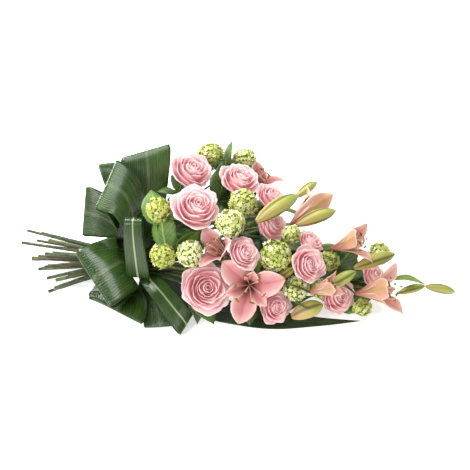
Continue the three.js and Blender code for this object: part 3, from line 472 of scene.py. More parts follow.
def bud_finish():
    """Green buds with dark seams where the three outer tepals meet, pinkish brown towards the base."""
    f = Finish("lily_bud", Subsurface_Weight=0.15, Subsurface_Scale=0.004, Roughness=0.42)
    u, v = f.uv()
    green = f.ramp(v, {0: "#a1894a", 0.15: "#a09748", 0.5: "#9b9f45", 0.85: "#8f9e45", 1: "#a8ac5c"})
    brown = f.ramp(v, {0: "#a87c58", 0.3: "#b8935c", 0.6: "#b3a052", 0.85: "#9fa04c", 1: "#b3a766"})
    lines = f.streaks(u, v, 36.0, 2.0, 3.0)
    body = f.blend(f.over(lines, 0.4, 0.9), f.blend(f.tone(), green, brown), "#c9c87c")
    seams = f.maths("COSINE", f.times(u, 6.0 * pi))
    body = f.blend(f.span(seams, -0.55, -0.98, high=0.85), body, "#56591f")
    return f.finish(body, None, lines, 0.35, 0.0008)


def aspidistra_finish(name, rib):
    """Glossy dark leaves with parallel veins from tail to fold, and a midrib that shows as much as rib."""
    f = Finish(name, Specular_IOR_Level=0.4, Coat_Weight=0.25, Coat_Roughness=0.2)
    u, v = f.uv()
    wander = f.times(f.streaks(u, v, 3.0, 6.0, 2.0), 1.6)
    ribs = f.ridges(f.maths("ADD", f.times(u, 24.0), wander), 0.45)
    fine = f.streaks(u, v, 130.0, 4.0)
    body = f.ramp(f.noise(f.place(), 14.0, 4.0), {0.25: "#152806", 0.5: "#223c0d", 0.75: "#395618"})
    body = f.blend(f.times(f.maths("SUBTRACT", 1.0, ribs), 0.8), body, "#12230a")
    body = f.blend(f.over(fine, 0.4, 1.3), body, "#4c712a")
    body = f.blend(f.span(f.aside(u), 0.05, 0.015, high=rib), body, "#a9b387")
    height = f.maths("ADD", ribs, f.times(fine, 0.5))
    return f.finish(body, f.span(fine, low=0.2, high=0.36), height, 0.45, 0.0012)


def small_leaf_finish(name, dark, light, vein, gloss):
    """Leaves with a pale midrib and side veins that slope to the tip."""
    f = Finish(name, Specular_IOR_Level=0.45)
    u, v = f.uv()
    aside = f.aside(u)
    ribs = f.ridges(f.maths("SUBTRACT", f.times(v, 9.0), f.times(aside, 5.5)), 0.3)
    blotch = f.noise(f.place(), 60.0, 4.0)
    body = f.ramp(blotch, {0.3: dark, 0.7: light})
    body = f.blend(f.times(f.maths("SUBTRACT", 1.0, ribs), 0.5), body, vein)
    body = f.blend(f.span(aside, 0.05, 0.015, high=0.8), body, vein)
    body = f.blend(f.times(f.tone(), 0.35), body, light)
    return f.finish(body, f.span(blotch, low=gloss, high=gloss + 0.15), ribs, 0.4, 0.0008)


def floret_finish():
    """Small florets from yellow green to near white, greener in their middles."""
    f = Finish("snowball_floret", Subsurface_Weight=0.15, Subsurface_Scale=0.002, Roughness=0.6)
    body = f.ramp(f.tone(), {0: "#9fa93e", 0.4: "#c6cd72", 0.75: "#e8e9b6", 1: "#f9f7de"})
    body = f.blend(f.span(f.uv()[1], 0.7, 0.0, high=0.6), body, "#a3ab3f")
    return f.finish(body, None, f.noise(f.place(), 700.0), 0.2, 0.0005)


def stem_finish(name, stops, roughness):
    """Stems with streaks along them, and here and there a brown place."""
    f = Finish(name, Roughness=roughness)
    place = f.node("ShaderNodeMapping", {"Vector": f.place(), "Scale": (1.0, 3.0, 3.0)}).outputs[0]
    streak = f.noise(place, 60.0, 5.0, 0.6)
    return f.finish(f.ramp(streak, stops), None, streak, 0.3, 0.001)


def plain_finish(name, dark, light, scale, roughness):
    f = Finish(name, Roughness=roughness)
    grain = f.noise(f.place(), scale, 4.0)
    return f.finish(f.ramp(grain, {0.3: dark, 0.7: light}), None, grain, 0.4, 0.0008)


def twine_finish():
    """Pale fibres, and dark grooves between strands that wind round the cord."""
    f = Finish("twine", Roughness=0.9)
    u, v = f.uv()
    winding = f.maths("ADD", f.times(v, 700.0), f.times(u, 3.0))
    strands = f.maths("SINE", f.times(winding, pi))
    fibre = f.noise(f.place(), 900.0, 5.0)
    body = f.blend(fibre, "#5f4c2c", "#b29a68")
    body = f.blend(f.span(strands, -0.2, -1.0, high=0.6), body, "#3c2f1a")
    return f.finish(body, None, f.maths("ADD", strands, fibre), 0.5, 0.001)


PINK_STOPS = {0: "#b0666c", 0.1: "#bd787a", 0.55: "#c88e8e", 0.85: "#d6aca6", 1: "#e5cac0"}
PEACH_STOPS = {0: "#9a8450", 0.14: "#ab8a5c", 0.45: "#b6866c", 0.85: "#bf947e", 1: "#d6b8a2"}
INNER_STOPS = {0: "#c98478", 0.12: "#d8988a", 0.55: "#e0a99b", 0.85: "#e6bbab", 1: "#eed2c2"}
ROSE_PETAL = rose_finish()
LILY_PINK = lily_finish("lily_pink", PINK_STOPS, PINK_STOPS, "#b0605f", "#7a1c26")
LILY_PEACH = lily_finish("lily_peach", PEACH_STOPS, INNER_STOPS, "#cf9a84", "#a1524b")
LILY_BUD = bud_finish()
ASPIDISTRA = aspidistra_finish("aspidistra", 0.12)
ASPIDISTRA_RIBBED = aspidistra_finish("aspidistra_ribbed", 0.85)
ROSE_LEAF = small_leaf_finish("rose_leaf", "#1f3514", "#3f5f22", "#6f8740", 0.33)
LILY_LEAF = small_leaf_finish("lily_leaf", "#37541b", "#6d8a30", "#95a653", 0.38)
SPRAY_LEAF = small_leaf_finish("snowball_leaf", "#2d4d15", "#5d8229", "#8ca64c", 0.42)
FLORET = floret_finish()
HEAD_CORE = plain_finish("snowball_core", "#4f5f1c", "#8c983c", 300.0, 0.8)
ROSE_CANE = stem_finish("rose_cane", {0.25: "#18200f", 0.5: "#30401b", 0.75: "#55602c"}, 0.45)
LILY_CANE = stem_finish("lily_cane", {0.25: "#2f3f18", 0.5: "#4d5e26", 0.75: "#737e3b"}, 0.45)
SPRAY_CANE = stem_finish("spray_cane", {0.25: "#1f1c10", 0.5: "#3b351f", 0.75: "#615a38"}, 0.65)
CUT_FACE = plain_finish("cut_face", "#7f8250", "#a8a674", 500.0, 0.8)
SEPAL = plain_finish("sepal", "#33481f", "#627a35", 120.0, 0.5)
FILAMENT = plain_finish("filament", "#c9a58a", "#e8cfae", 200.0, 0.45)
ANTHER = plain_finish("anther", "#6b3a18", "#b06a2c", 500.0, 0.85)
STIGMA = plain_finish("stigma", "#6c5a3a", "#a2915c", 300.0, 0.35)
TWINE = twine_finish()


# What the stems carry, in the source's order, and moved apart as there

class Head:
    """A bloom, flower, bud or snowball: its middle and axis, half its width and length, and its depth."""

    def __init__(self, kind, centre, axis, r, h, back, **rest):
        self.kind, self.centre, self.axis = kind, vec(centre), axis
        self.r, self.h, self.back = r, h, back
        self.__dict__.update(rest)

    def reach(self, direction):
        c = float(np.dot(direction, self.axis))
        return sqrt((self.h * c) ** 2 + self.r * self.r * (1 - c * c))


def rose_head(across, at, faces):
    radius, height, depth = (across * part for part in (BLOOM.radius, BLOOM.height, BLOOM.depth))
    return Head("bloom", at, unit(faces), radius, height, depth, across=across)


def flower_head(start, faces, length, opening, peach):
    axis = unit(faces)
    r = length * (FLOWER.narrow + FLOWER.opens * sin(radians(opening)))
    back = FLOWER.depth * length
    rest = {"length": length, "open": opening, "peach": peach}
    return Head("flower", vec(start) + axis * back, axis, r, FLOWER.height * length, back, **rest)


def bud_head(start, end, across, warm):
    start, end = vec(start), vec(end)
    length = size(end - start)
    rest = {"length": length, "across": across, "warm": warm}
    return Head("bud", (start + end) / 2, unit(end - start), across / 2, length / 2, length / 2, **rest)


def snowball_head(r, x, y, z, pale):
    centre = vec([x, y, z])
    axis = unit(unit(centre - BINDING) + SNOWBALL_LIFT * UP)
    return Head("snowball", centre, axis, r, r, r / 2, pale=pale)


plants = [("rose", [rose_head(*rose)]) for rose in ROSES]
for flowers, buds in LILIES:
    plants.append(("lily", [flower_head(*flower) for flower in flowers] + [bud_head(*bud) for bud in buds]))
plants += [("spray", [snowball_head(*head) for head in spray]) for spray in SPRAYS]
heads = [head for _, group in plants for head in group]


def spread_heads():
    pairs = [(one, other) for i, one in enumerate(heads) for other in heads[:i]]
    for one, other in pairs * SPREAD_PASSES:
        line = one.centre - other.centre
        distance = size(line)
        line = line / distance
        short = one.reach(line) + other.reach(line) + 2 * GAP - distance
        if short > 0:
            one.centre = one.centre + line * short / 2
            other.centre = other.centre - line * short / 2
    for one in heads:
        one.base = one.centre - one.axis * one.back


spread_heads()

# Rose blooms: rounds of petals with their number, the radius and height of the rim in parts of the
# bloom's width, half the angle that a petal spans, how far its rim rolls out, and its tone
PETAL_ROUNDS = [
    (3, 0.05, 0.48, 130, -0.3, 1.0),
    (3, 0.092, 0.5, 110, -0.1, 0.85),
    (4, 0.142, 0.51, 85, 0.15, 0.65),
    (4, 0.2, 0.505, 78, 0.5, 0.45),
    (5, 0.27, 0.48, 62, 0.9, 0.3),
    (5, 0.355, 0.42, 58, 1.3, 0.12),
    (6, 0.44, 0.315, 50, 1.6, 0.0),
]
PETAL = Sizes(thickness=0.45, turn=137.5, tight_rounds=3, tight_grid=(11, 13), open_grid=(15, 17))
SEPALS = Sizes(count=5, thickness=0.6, tone=0.3)


def bezier(p, t):
    t = t[..., None]
    return (1 - t) ** 3 * p[0] + 3 * (1 - t) ** 2 * t * p[1] + 3 * (1 - t) * t * t * p[2] + t ** 3 * p[3]


def rose_bloom(name, head, draw):
    """Petals in rounds: cupped low down, rolled out along the rim to both sides of a small point."""
    shape = Shape()
    side, other = sides_of(head.axis)
    spin = draw.uniform(0, 360)
    shift = [draw.uniform(-0.035, 0.035) for _ in range(2)]
    for level, (count, rim, top, span, roll, tone) in enumerate(PETAL_ROUNDS):
        outer = level / (len(PETAL_ROUNDS) - 1)
        rows, columns = PETAL.tight_grid if level < PETAL.tight_rounds else PETAL.open_grid
        a, h = np.meshgrid(np.linspace(-1, 1, columns), np.linspace(0, 1, rows))
        share = h * (1 - 0.08 * outer * np.abs(a) ** 1.2 - (0.3 - 0.06 * outer) * np.abs(a) ** 3)
        rolled = np.clip((share - 0.62) / 0.38, 0, 1)
        peak = np.exp(-((a / 0.24) ** 2)) * rolled ** 1.5
        belly = 1.18 - 0.26 * outer
        spread = a * span * (0.5 + 0.5 * np.sin(np.minimum(1, share * 1.4) * pi / 2))
        for k in range(count):
            own = rim * draw.uniform(0.9, 1.05)
            lift = top * draw.uniform(0.93, 1.03)
            turn_out = roll * draw.uniform(0.7, 1.25) * (0.35 + 0.95 * np.abs(a) ** 1.3)
            path = [(0.03, 0.0), (own * 0.8 + 0.05, -0.01), (own * belly, lift * 0.6), (own, lift)]
            reach, height = np.moveaxis(bezier(vec(path), share), -1, 0)
            reach = reach + 0.05 * turn_out * rolled ** 2 + 0.065 * peak * outer
            height = height - 0.055 * np.maximum(turn_out, 0) * rolled ** 3
            phase = draw.uniform(0, ANY_TURN)
            wave = np.sin(a * 4.0 + phase) * share ** 2
            reach = reach * (1 + 0.17 * a * (1 - 0.6 * outer)) + 0.01 * wave * (0.3 + outer)
            height = height + 0.012 * np.sin(a * 3.0 + 2 * phase) * share ** 3 * (0.3 + outer)
            middle = spin + PETAL.turn * level + 360 * k / count + draw.uniform(-9, 9)
            angle = np.radians(middle + spread)
            inward = 2 * (1 - outer) * height
            x, y = reach * np.cos(angle) + shift[0] * inward, reach * np.sin(angle) + shift[1] * inward
            grid = head.base + head.across * moved(0, (x, side), (y, other), (height, head.axis))
            uv = np.stack([(a + 1) / 2, share], -1)
            shape.sheet(grid, uv, PETAL.thickness, tone * draw.uniform(0.7, 1.1))
    show(shape.build(f"{name}_petals", [ROSE_PETAL]), name)


def sepals(shape, head, draw, slot):
    """Narrow green leaves that hug the bloom from below."""
    side, other = sides_of(head.axis)
    a, h = np.meshgrid(np.linspace(-1, 1, 5), np.linspace(0, 1, 8))
    width = 0.07 * np.sin(pi * np.minimum(1, h * 0.85 + 0.12)) ** 0.7
    reach = 0.045 + 0.2 * h ** 0.8 + 0.04 * h ** 3
    height = -0.045 + 0.05 * h + 0.02 * h * h - 0.02 * a * a
    for k in range(SEPALS.count):
        angle = radians(360 / SEPALS.count * k + draw.uniform(-8, 8))
        out = cos(angle) * side + sin(angle) * other
        places = moved(0, (reach, out), (a * width, np.cross(head.axis, out)), (height, head.axis))
        uv = np.stack([(a + 1) / 2, h], -1)
        shape.sheet(head.base + head.across * places, uv, SEPALS.thickness, SEPALS.tone, slot)


# Snowball heads: small five-lobed florets close together, with a few lumps, over a dark core
FLORET_SIZE = Sizes(width=10.5, cover=1.25, depth=0.93)
LUMPS = Sizes(count=9, edge=0.8, height=0.1)
CORE = Sizes(share=0.84, steps=10, sides=16)


def floret_points():
    """One floret of unit radius: its points, its faces, and how far out each point is as v.

    Round its middle are a ring of 10 points and a rim of 20, which goes out and in for five lobes.
    """
    rings = [(0.4, 0.07, pi * 2 * k / 10) for k in range(10)]
    rings += [(r, 0.2 * r * r - 0.03, pi * 2 * k / 20) for k, r in enumerate((1.0, 0.95, 0.52, 0.95) * 5)]
    points = [(0, 0, 0.02), *((r * cos(t), r * sin(t), z) for r, z, t in rings), (0, 0, -0.16)]
    out = [0, *(r for r, _, _ in rings), 0.2]
    faces = [(0, 1 + k, 1 + (k + 1) % 10) for k in range(10)]
    for k in range(10):
        a, b = 1 + k, 1 + (k + 1) % 10
        c, d, e = 11 + 2 * k, 11 + (2 * k + 1) % 20, 11 + (2 * k + 2) % 20
        faces += [(a, c, d), (a, d, b), (b, d, e)]
    faces += [(31, 11 + (k + 1) % 20, 11 + k) for k in range(20)]
    return vec(points), faces, vec([(0.5, r) for r in out])


FLORET_POINTS, FLORET_FACES, FLORET_UV = floret_points()


def snowball(shape, head, draw):
    """Florets in a spiral over a dark ball, each a little turned, tilted and raised by itself."""
    count = int(FLORET_SIZE.cover * 4 * (2 * head.r / FLORET_SIZE.width) ** 2)
    lumps = [unit([draw.gauss(0, 1) for _ in range(3)]) for _ in range(LUMPS.count)]
    golden = pi * (3 - sqrt(5))
    spin = draw.uniform(0, ANY_TURN)
    pole = unit(any_way(draw))
    side, other = sides_of(pole)
    sunk = max(1.0, head.r / 22)
    for k in range(count):
        z = 1 - 2 * (k + 0.5) / count
        ring = sqrt(1 - z * z)
        t = golden * k + spin
        normal = ring * cos(t) * side + ring * sin(t) * other + z * pole
        lump = max(float(np.dot(normal, way)) for way in lumps)
        rise = head.r * (lump - 1 + LUMPS.height if lump > LUMPS.edge else -LUMPS.height)
        up = head.r * FLORET_SIZE.depth + 0.45 * rise + draw.uniform(-1.8, 0.9) * sunk
        tilt = unit(normal + 0.45 * any_way(draw))
        if lump < LUMPS.edge and draw.random() < 0.4 - 0.5 * head.pale:
            continue
        u = turned(square_to(tilt, ACROSS), tilt, draw.uniform(0, ANY_TURN))
        radius = FLORET_SIZE.width / 2 * draw.uniform(0.82, 1.12)
        axes = np.stack([u, np.cross(tilt, u), tilt * draw.uniform(0.6, 2.0)])
        tone = min(1.0, max(0.0, draw.gauss(0.12 + 0.75 * head.pale, 0.18)))
        shape.add(head.centre + normal * up + radius * FLORET_POINTS @ axes, FLORET_FACES, FLORET_UV, tone)
    core = head.r * CORE.share
    polar = pi * np.arange(CORE.steps - 1, 0, -1) / CORE.steps
    line = moved(head.centre, (core * np.cos(polar), UP))
    shape.tube(line, core * np.sin(polar), CORE.sides, 1, wished=ALONG)


# Lilies

TEPAL = Sizes(start=14, narrow=0.74, least=2, thickness=0.9, inner=1.08, bend=1.2, steps=25)
OPENING_TRIES = (0, -8, 8, -16, 16, -26, -38, -50, -62)
WIDE_OPEN = 55
SHOWS_STAMENS = 22

# How wide outer and inner tepals are drawn, in wide open flowers and in others, and the width along a tepal
WIDER = {True: (1.22, 0.95), False: (0.98, 0.86)}
TEPAL_WIDTH = (
    (0, 0.12, 0.3, 0.5, 0.66, 0.8, 0.92, 1),
    (0.05, 0.12, 0.26, 0.38, 0.42, 0.36, 0.2, 0.02),
)


def tepal_at(length, opening, share):
    """Distance out and forward along a tepal, and its lean from the flower's axis."""
    out, forward, lean = 2.0, 0.0, radians(TEPAL.start)
    steps = share * TEPAL.steps
    for k in range(1, ceil(steps) + 1):
        step = length / TEPAL.steps * min(1.0, steps - (k - 1))
        opened = (opening - TEPAL.start) * (k / TEPAL.steps) ** TEPAL.bend
        lean = radians(TEPAL.start + opened)
        out += sin(lean) * step
        forward += cos(lean) * step
    return out, forward, lean


def wall_point(head, angle, opening, share, length):
    outward = turned(square_to(head.axis, ACROSS), head.axis, angle)
    out, forward, lean = tepal_at(length, opening, share)
    inward = -outward * cos(lean) + head.axis * sin(lean)
    return head.base + outward * out + head.axis * forward, inward, np.cross(head.axis, outward)


def found_lean(head, k, corners):
    """How far the source let this tepal open, read from where the tip of the CAD node's tepal is."""
    wished = head.open * (TEPAL.inner if k % 2 else 1)
    length = head.length * (TEPAL.narrow if k % 2 else 1)
    leans = [wished + more for more in OPENING_TRIES if wished + more >= TEPAL.least]
    angle = head.spin + radians(60 * k)

    def miss(lean):
        tip = wall_point(head, angle, lean, 1.0, length)[0]
        return np.linalg.norm(corners - tip, axis=1).min()

    return min(leans, key=miss), length, angle


def lily_flower(name, head, draw):
    """Six tepals with a channel and waved edges, where the CAD node's tepals are."""
    shape = Shape()
    corners = millimetres([v.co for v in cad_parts[name].data.vertices])
    rows, columns = 22, 13
    a = np.linspace(-1, 1, columns)
    shares = np.linspace(0, 1, rows)
    for k in range(6):
        lean, length, angle = found_lean(head, k, corners)
        grid = []
        phase = draw.uniform(0, ANY_TURN)
        for share in shares:
            free, inward, side = wall_point(head, angle, lean, share, length)
            part = smoothstep((share - 0.2) / 0.3)
            cup, inward_cup, side = wall_point(head, angle, head.open, share, length)
            facing = unit(inward_cup * (1 - part) + inward * part)
            width = np.interp(share, *TEPAL_WIDTH) * length * WIDER[head.open > WIDE_OPEN][k % 2]
            curl = 0.07 * length * max(0.0, (share - 0.72) / 0.28) ** 2
            centre = cup * (1 - part) + free * part - facing * (curl + (0.6 if k % 2 else 0.0))
            channel = 0.16 * width * (1 - 0.6 * share)
            groove = 0.035 * length * exp(-((share - 0.45) / 0.4) ** 2)
            bow = channel * np.abs(a) ** 1.6 + groove * np.exp(-(a / 0.16) ** 2) * -0.5
            waved = 0.02 * length * smoothstep((share - 0.3) / 0.3)
            ripple = waved * np.abs(a) ** 2 * np.sin(share * 13 + phase + a * 1.5)
            grid.append(moved(centre, (a * width / 2, side), (bow + ripple, facing)))
        tone = draw.uniform(0, 1)
        shape.sheet(np.array(grid), grid_uv(shares, (a + 1) / 2), TEPAL.thickness, (tone + 1, tone))
    if head.open > SHOWS_STAMENS:
        stamens(shape, head, draw)
    materials = [LILY_PEACH if head.peach > 0.5 else LILY_PINK, FILAMENT, ANTHER, STIGMA]
    show(shape.build(f"{name}_tepals", materials), name)


STAMENS = Sizes(count=6, lean=9, opens=0.16, length=0.68, end=0.65, anther=5.4, width=1.5)
PISTIL = Sizes(lean=3, length=0.8, fuller=1.25, stigma=1.8, width=2.3)


def stamens(shape, head, draw):
    """Filaments with hanging anthers, and the pistil between them. Slots are filament, anther, stigma."""
    spread = STAMENS.lean + STAMENS.opens * head.open
    for k in range(STAMENS.count + 1):
        pistil = k == STAMENS.count
        angle = head.spin + radians(60 * k + 30 + draw.uniform(-6, 6))
        out = turned(square_to(head.axis, ACROSS), head.axis, angle)
        lean = radians(PISTIL.lean if pistil else spread * draw.uniform(0.8, 1.15))
        reach = head.length * (PISTIL if pistil else STAMENS).length * draw.uniform(0.95, 1.05)
        t = np.linspace(0, 1, 9)
        heading = head.axis * cos(lean) + out * sin(lean)
        bow, fall = t ** 2 * (1 - t) * 0.12 * reach, t ** 2 * -0.04 * reach
        start = head.base + head.axis * 0.08 * head.length
        line = moved(start, (t * reach, heading), (bow, head.axis), (fall, UP))
        radii = np.interp(t, [0, 1], [1.0, STAMENS.end]) * (PISTIL.fuller if pistil else 1.0)
        shape.tube(line, radii, 6, 1)
        if pistil:
            ball = np.linspace(-1, 1, 5)
            stigma = moved(line[-1], (ball * PISTIL.stigma, heading))
            shape.tube(stigma, PISTIL.width * np.sqrt(1.08 - ball ** 2), 9, 3)
            continue
        cross = unit(np.cross(heading, out) + 0.5 * draw.uniform(-1, 1) * out + 0.25 * heading)
        s = np.linspace(-1, 1, 9)
        anther = moved(line[-1], (s * STAMENS.anther, cross), (-1.2 * s ** 2, head.axis))
        shape.tube(anther, STAMENS.width * np.sqrt(1.03 - s ** 2) + 0.15, 8, 2)


# Buds: sizes in parts of their width or length, and the width along a bud
BUD = Sizes(rows=26, sides=36, groove=0.14, rib=0.035, rib_width=0.07, bend=0.03)
BUD_WIDTH = (
    (0, 0.05, 0.2, 0.38, 0.55, 0.72, 0.86, 0.95, 1),
    (0.26, 0.42, 0.74, 0.93, 1, 0.93, 0.68, 0.38, 0.1),
)


def lily_bud(shape, head, draw):
    """Three outer tepals shut over the bud, with a groove where they meet and a rib along each."""
    side, other = sides_of(head.axis)
    t = np.linspace(0, 2 * pi, BUD.sides, endpoint=False)
    turn = draw.uniform(0, 2)
    groove = np.abs(np.cos(1.5 * (t + turn)))
    rib = np.exp(-((groove - 1) / BUD.rib_width) ** 2)
    outline = 1 - BUD.groove + BUD.groove * groove ** 0.5 + BUD.rib * rib
    shares = 0.5 - 0.5 * np.cos(np.linspace(0, pi, BUD.rows))
    rings = []
    for s in shares:
        reach = np.interp(s, *BUD_WIDTH) * head.across / 2 * outline
        bend = BUD.bend * head.length * sin(pi * s)
        centre = head.base + head.axis * s * head.length + side * bend
        rings.append(moved(centre, (reach * np.cos(t), side), (reach * np.sin(t), other)))
    shape.rings(np.array(rings), grid_uv(shares, (t + turn) / (2 * pi)), head.warm)


# Folded leaves and the broad leaves below, with the millimetres of leaf in which v grows by one

V_LENGTH = 100


def curve_at(places, stop):
    """A place on the centripetal Catmull-Rom curve through the places, as three.js works it out."""
    n = len(places)
    i = min(int(stop), n - 2)
    w = stop - i
    p1, p2 = places[i], places[i + 1]
    p0 = places[i - 1] if i > 0 else 2 * places[0] - places[1]
    p3 = places[i + 2] if i + 2 < n else 2 * places[-1] - places[-2]
    d0, d1, d2 = (sqrt(size(q - p)) for p, q in ((p0, p1), (p1, p2), (p2, p3)))
    t1 = ((p1 - p0) / d0 - (p2 - p0) / (d0 + d1) + (p2 - p1) / d1) * d1
    t2 = ((p2 - p1) / d1 - (p3 - p1) / (d1 + d2) + (p3 - p2) / d2) * d1
    return p1 + t1 * w + (-3 * p1 + 3 * p2 - 2 * t1 - t2) * w ** 2 + (2 * p1 - 2 * p2 + t1 + t2) * w ** 3


def tail_point(angle, radius, x):
    turn = radians(angle)
    return np.array([x, BINDING[1] + radius * cos(turn), BINDING[2] + radius * sin(turn)])


def midrib(tail, radius, side, path, steps):
    """A leaf's line from its tail in the binding along a path, and the way round the binding there."""
    places = [tail_point(tail, radius, -side * TAIL.end), tail_point(tail, radius, side * TAIL.out)]
    places += [vec(p) for p in path]
    stops = [0.0] + [1 + k / steps for k in range((len(places) - 2) * steps + 1)]
    around = tail_point(tail + 90, 1, 0) - BINDING
    return np.array([curve_at(places, stop) for stop in stops]), around


def blade(name, rows, v, t, thickness, finish, draw):
    shape = Shape()
    shape.sheet(np.array(rows), grid_uv(v, (t + 1) / 2), thickness, draw.uniform(0, 5))
    show(shape.build(f"{name}_blade", [finish]), name)


def folded_leaf(draw, name, fold, crest, width, tail, side, fat, path, taper=LEAF.taper):
    """A leaf that runs from its tail to the fold and back, closed over a round nose."""
    line, around = midrib(tail, TAIL.radius, side, [*path, fold], 9)
    axes = directions(line)
    axes[0] = (np.sign(axes[0][0]), 0, 0)
    runs = run_along(line)
    nose = min(NOSE.length, NOSE.share * width)
    match = unit(crest)
    if np.dot(around, match) < 0:
        match = -match
    columns = 19
    t = np.linspace(-1, 1, columns)
    wave_a, wave_b = draw.uniform(0, ANY_TURN), draw.uniform(0, ANY_TURN)

    def row(run, way):
        k = min(float(np.interp(run, runs, range(len(runs)))), len(line) - 1.0)
        low_k = min(int(k), len(line) - 2)
        part = k - low_k
        centre = line[low_k] * (1 - part) + line[low_k + 1] * part
        axis = unit(axes[low_k] * (1 - part) + axes[low_k + 1] * part)
        share = max(0.0, (run - runs[1]) / (runs[-1] - runs[1]))
        twisted = min(1.0, share * LEAF.twist)
        across = square_to(axis, around + (match - around) * twisted)
        across = unit(across + (match - across) * share ** 3)
        apart = TAIL.leg + (NOSE.fuller * fat / 2 - TAIL.leg) * twisted
        left = runs[-1] - run
        if left < nose:
            apart *= sqrt(max(0.0, 1 - (1 - left / nose) ** 2))
        wide = TAIL.width + (width - TAIL.width) * share ** taper
        wide *= 1 - NOSE.corner * exp(-((left / NOSE.round) ** 2))
        crown = 0.045 * wide * (1 - t ** 2) * sin(pi * min(1.0, share)) ** 0.8
        ripple = 0.014 * wide * t ** 2 * sin(share * 7 + wave_a + (wave_b if way > 0 else 0)) * share
        offset = way * (apart + crown) + ripple
        return moved(centre, (t * wide / 2, across), (offset, unit(np.cross(across, axis))))

    stops = [*np.linspace(0, 1, 44) * (runs[-1] - nose)]
    stops += [runs[-1] - nose * (1 - sin(a)) for a in np.linspace(0, pi / 2, 13)[1:]]
    rows = [row(run, 1) for run in stops] + [row(run, -1) for run in stops[-2::-1]]
    v = run_along([places[columns // 2] for places in rows]) / V_LENGTH
    finish = ASPIDISTRA_RIBBED if name.endswith(RIBBED) else ASPIDISTRA
    blade(name, rows, v, t, LEAF.fold, finish, draw)


def base_leaf(draw, name, tail, width, path):
    """A broad leaf that lies on the floor, with waved edges."""
    line, around = midrib(tail, BASE_LEAF.radius, 1, path, 8)
    line[:, 2] = np.maximum(line[:, 2], LEAF.base / 2)
    runs = run_along(line)
    t = np.linspace(-1, 1, 15)
    rows = []
    for centre, axis, run in zip(line, directions(line), runs - runs[1]):
        run = max(0.0, run)
        share = run / (runs[-1] - runs[1])
        if centre[2] < LEAF.base / 2 + 0.01:
            axis = unit([axis[0], axis[1], 0])
        across = square_to(axis, around + (ACROSS - around) * min(1.0, run / BASE_LEAF.turns_in))
        normal = np.cross(axis, across)
        normal = normal if normal[2] > 0 else -normal
        full = sin(pi * share ** BASE_LEAF.fullest) ** BASE_LEAF.point
        wide = TAIL.width * (1 - share) + width * full
        ripple = 0.02 * wide * t ** 2 * (1 + np.sin(share * 19 + 2 * t)) * min(1.0, 4 * share)
        rows.append(moved(centre, (t * wide / 2, across), (ripple, normal)))
    blade(name, rows, runs / V_LENGTH, t, LEAF.base, ASPIDISTRA, draw)


# Stems: the CAD node's own route, rounded, with finer leaves where the CAD leaves are

# Each kind of plant: its pieces' names, slot and finishes, its leaves' widths along them in parts of their
# length, and how deep they are creased
KINDS = {
    "rose": ("rose_stem", "rose_green", ROSE_CANE, ROSE_LEAF, (0.05, 0.62, 0.56, 0.03), 0.1),
    "spray": ("snowball_spray", "snowball_green", SPRAY_CANE, SPRAY_LEAF, (0.05, 0.64, 0.58, 0.04), 0.08),
    "lily": ("lily_stem", "lily_green", LILY_CANE, LILY_LEAF, (0.06, 0.22, 0.2, 0.03), 0.12),
}

# Where along a small leaf the source has its two rows between root and tip, and how closely two corners
# of a leaf are one thickness apart
LEAF_ROWS = (0.3, 0.68)
NEARLY = 0.002


def merged_mesh(name):
    """The CAD node's mesh with its corners joined."""
    made = bmesh.new()
    made.from_mesh(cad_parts[name].data)
    bmesh.ops.remove_doubles(made, verts=made.verts, dist=1e-6)
    made.verts.ensure_lookup_table()
    return made


def leaf_groups(made):
    """Corners in millimetres, their mates one leaf's thickness away, and sets of corners of one leaf each."""
    points = millimetres([v.co for v in made.verts])
    tree = KDTree(len(points))
    for k, p in enumerate(points):
        tree.insert(p, k)
    tree.balance()
    mates = {}
    for k, p in enumerate(points):
        for _, other, distance in tree.find_range(p, LEAF.small + NEARLY):
            if other != k and distance > LEAF.small - NEARLY:
                mates.setdefault(k, []).append(other)
    left, groups = set(mates), []
    while left:
        group, queue = [], [left.pop()]
        while queue:
            corner = made.verts[queue.pop()]
            group.append(corner.index)
            found = {edge.other_vert(corner).index for edge in corner.link_edges} & left
            left -= found
            queue += found
        groups.append(group)
    return points, mates, sorted(groups, key=min)


def read_leaf(widths, points, mates, group):
    """Root, tip, bow and side of a leaf from its outer rows, or None where they can't be told.

    The midrib is at root + (tip - root) s + bow 4 s (1 - s), which its places in two rows give back.
    """
    pairs = [(i, j) for i in group for j in mates[i] if j > i and j in group]
    pairs = [(abs(size(points[i] - points[j]) - LEAF.small), i, j) for i, j in pairs]
    middles, done = [], set()
    for _, i, j in sorted(pairs):
        if i not in done and j not in done:
            done.update((i, j))
            middles.append((points[i] + points[j]) / 2)
    if len(middles) < 9:
        return None
    middles = np.array(middles)
    apart = np.linalg.norm(middles[:, None] - middles[None], axis=2)
    tip = int(np.argmin(np.sort(apart, axis=1)[:, 1:3].sum(1)))
    order = np.argsort(apart[tip])
    rows = []
    for start in (6, 3, 0):
        row = middles[order[start:start + 3]]
        middle = int(np.argmin(np.linalg.norm(row[:, None] - row[None], axis=2).sum(1)))
        sides = [row[k] for k in range(3) if k != middle]
        rows.append((sides[0], row[middle], sides[1]))
    (a0, m0, b0), (a1, m1, b1), (_, m2, _) = rows
    s0, s1 = LEAF_ROWS
    bow0, bow1 = (4 * s * (1 - s) for s in LEAF_ROWS)
    ratio = bow0 / bow1
    root = (m0 - ratio * m1 - (s0 - ratio * s1) * m2) / (1 - s0 - ratio * (1 - s1))
    bow = (m1 - (1 - s1) * root - s1 * m2) / bow1
    length = size(m2 - root)
    for spread, width in ((a0 - b0, 1), (a1 - b1, 2)):
        wished = widths[width] * length
        if abs(size(spread) - wished) > 0.25 * wished:
            return None
    return root, m2, bow, unit(b0 - a0)


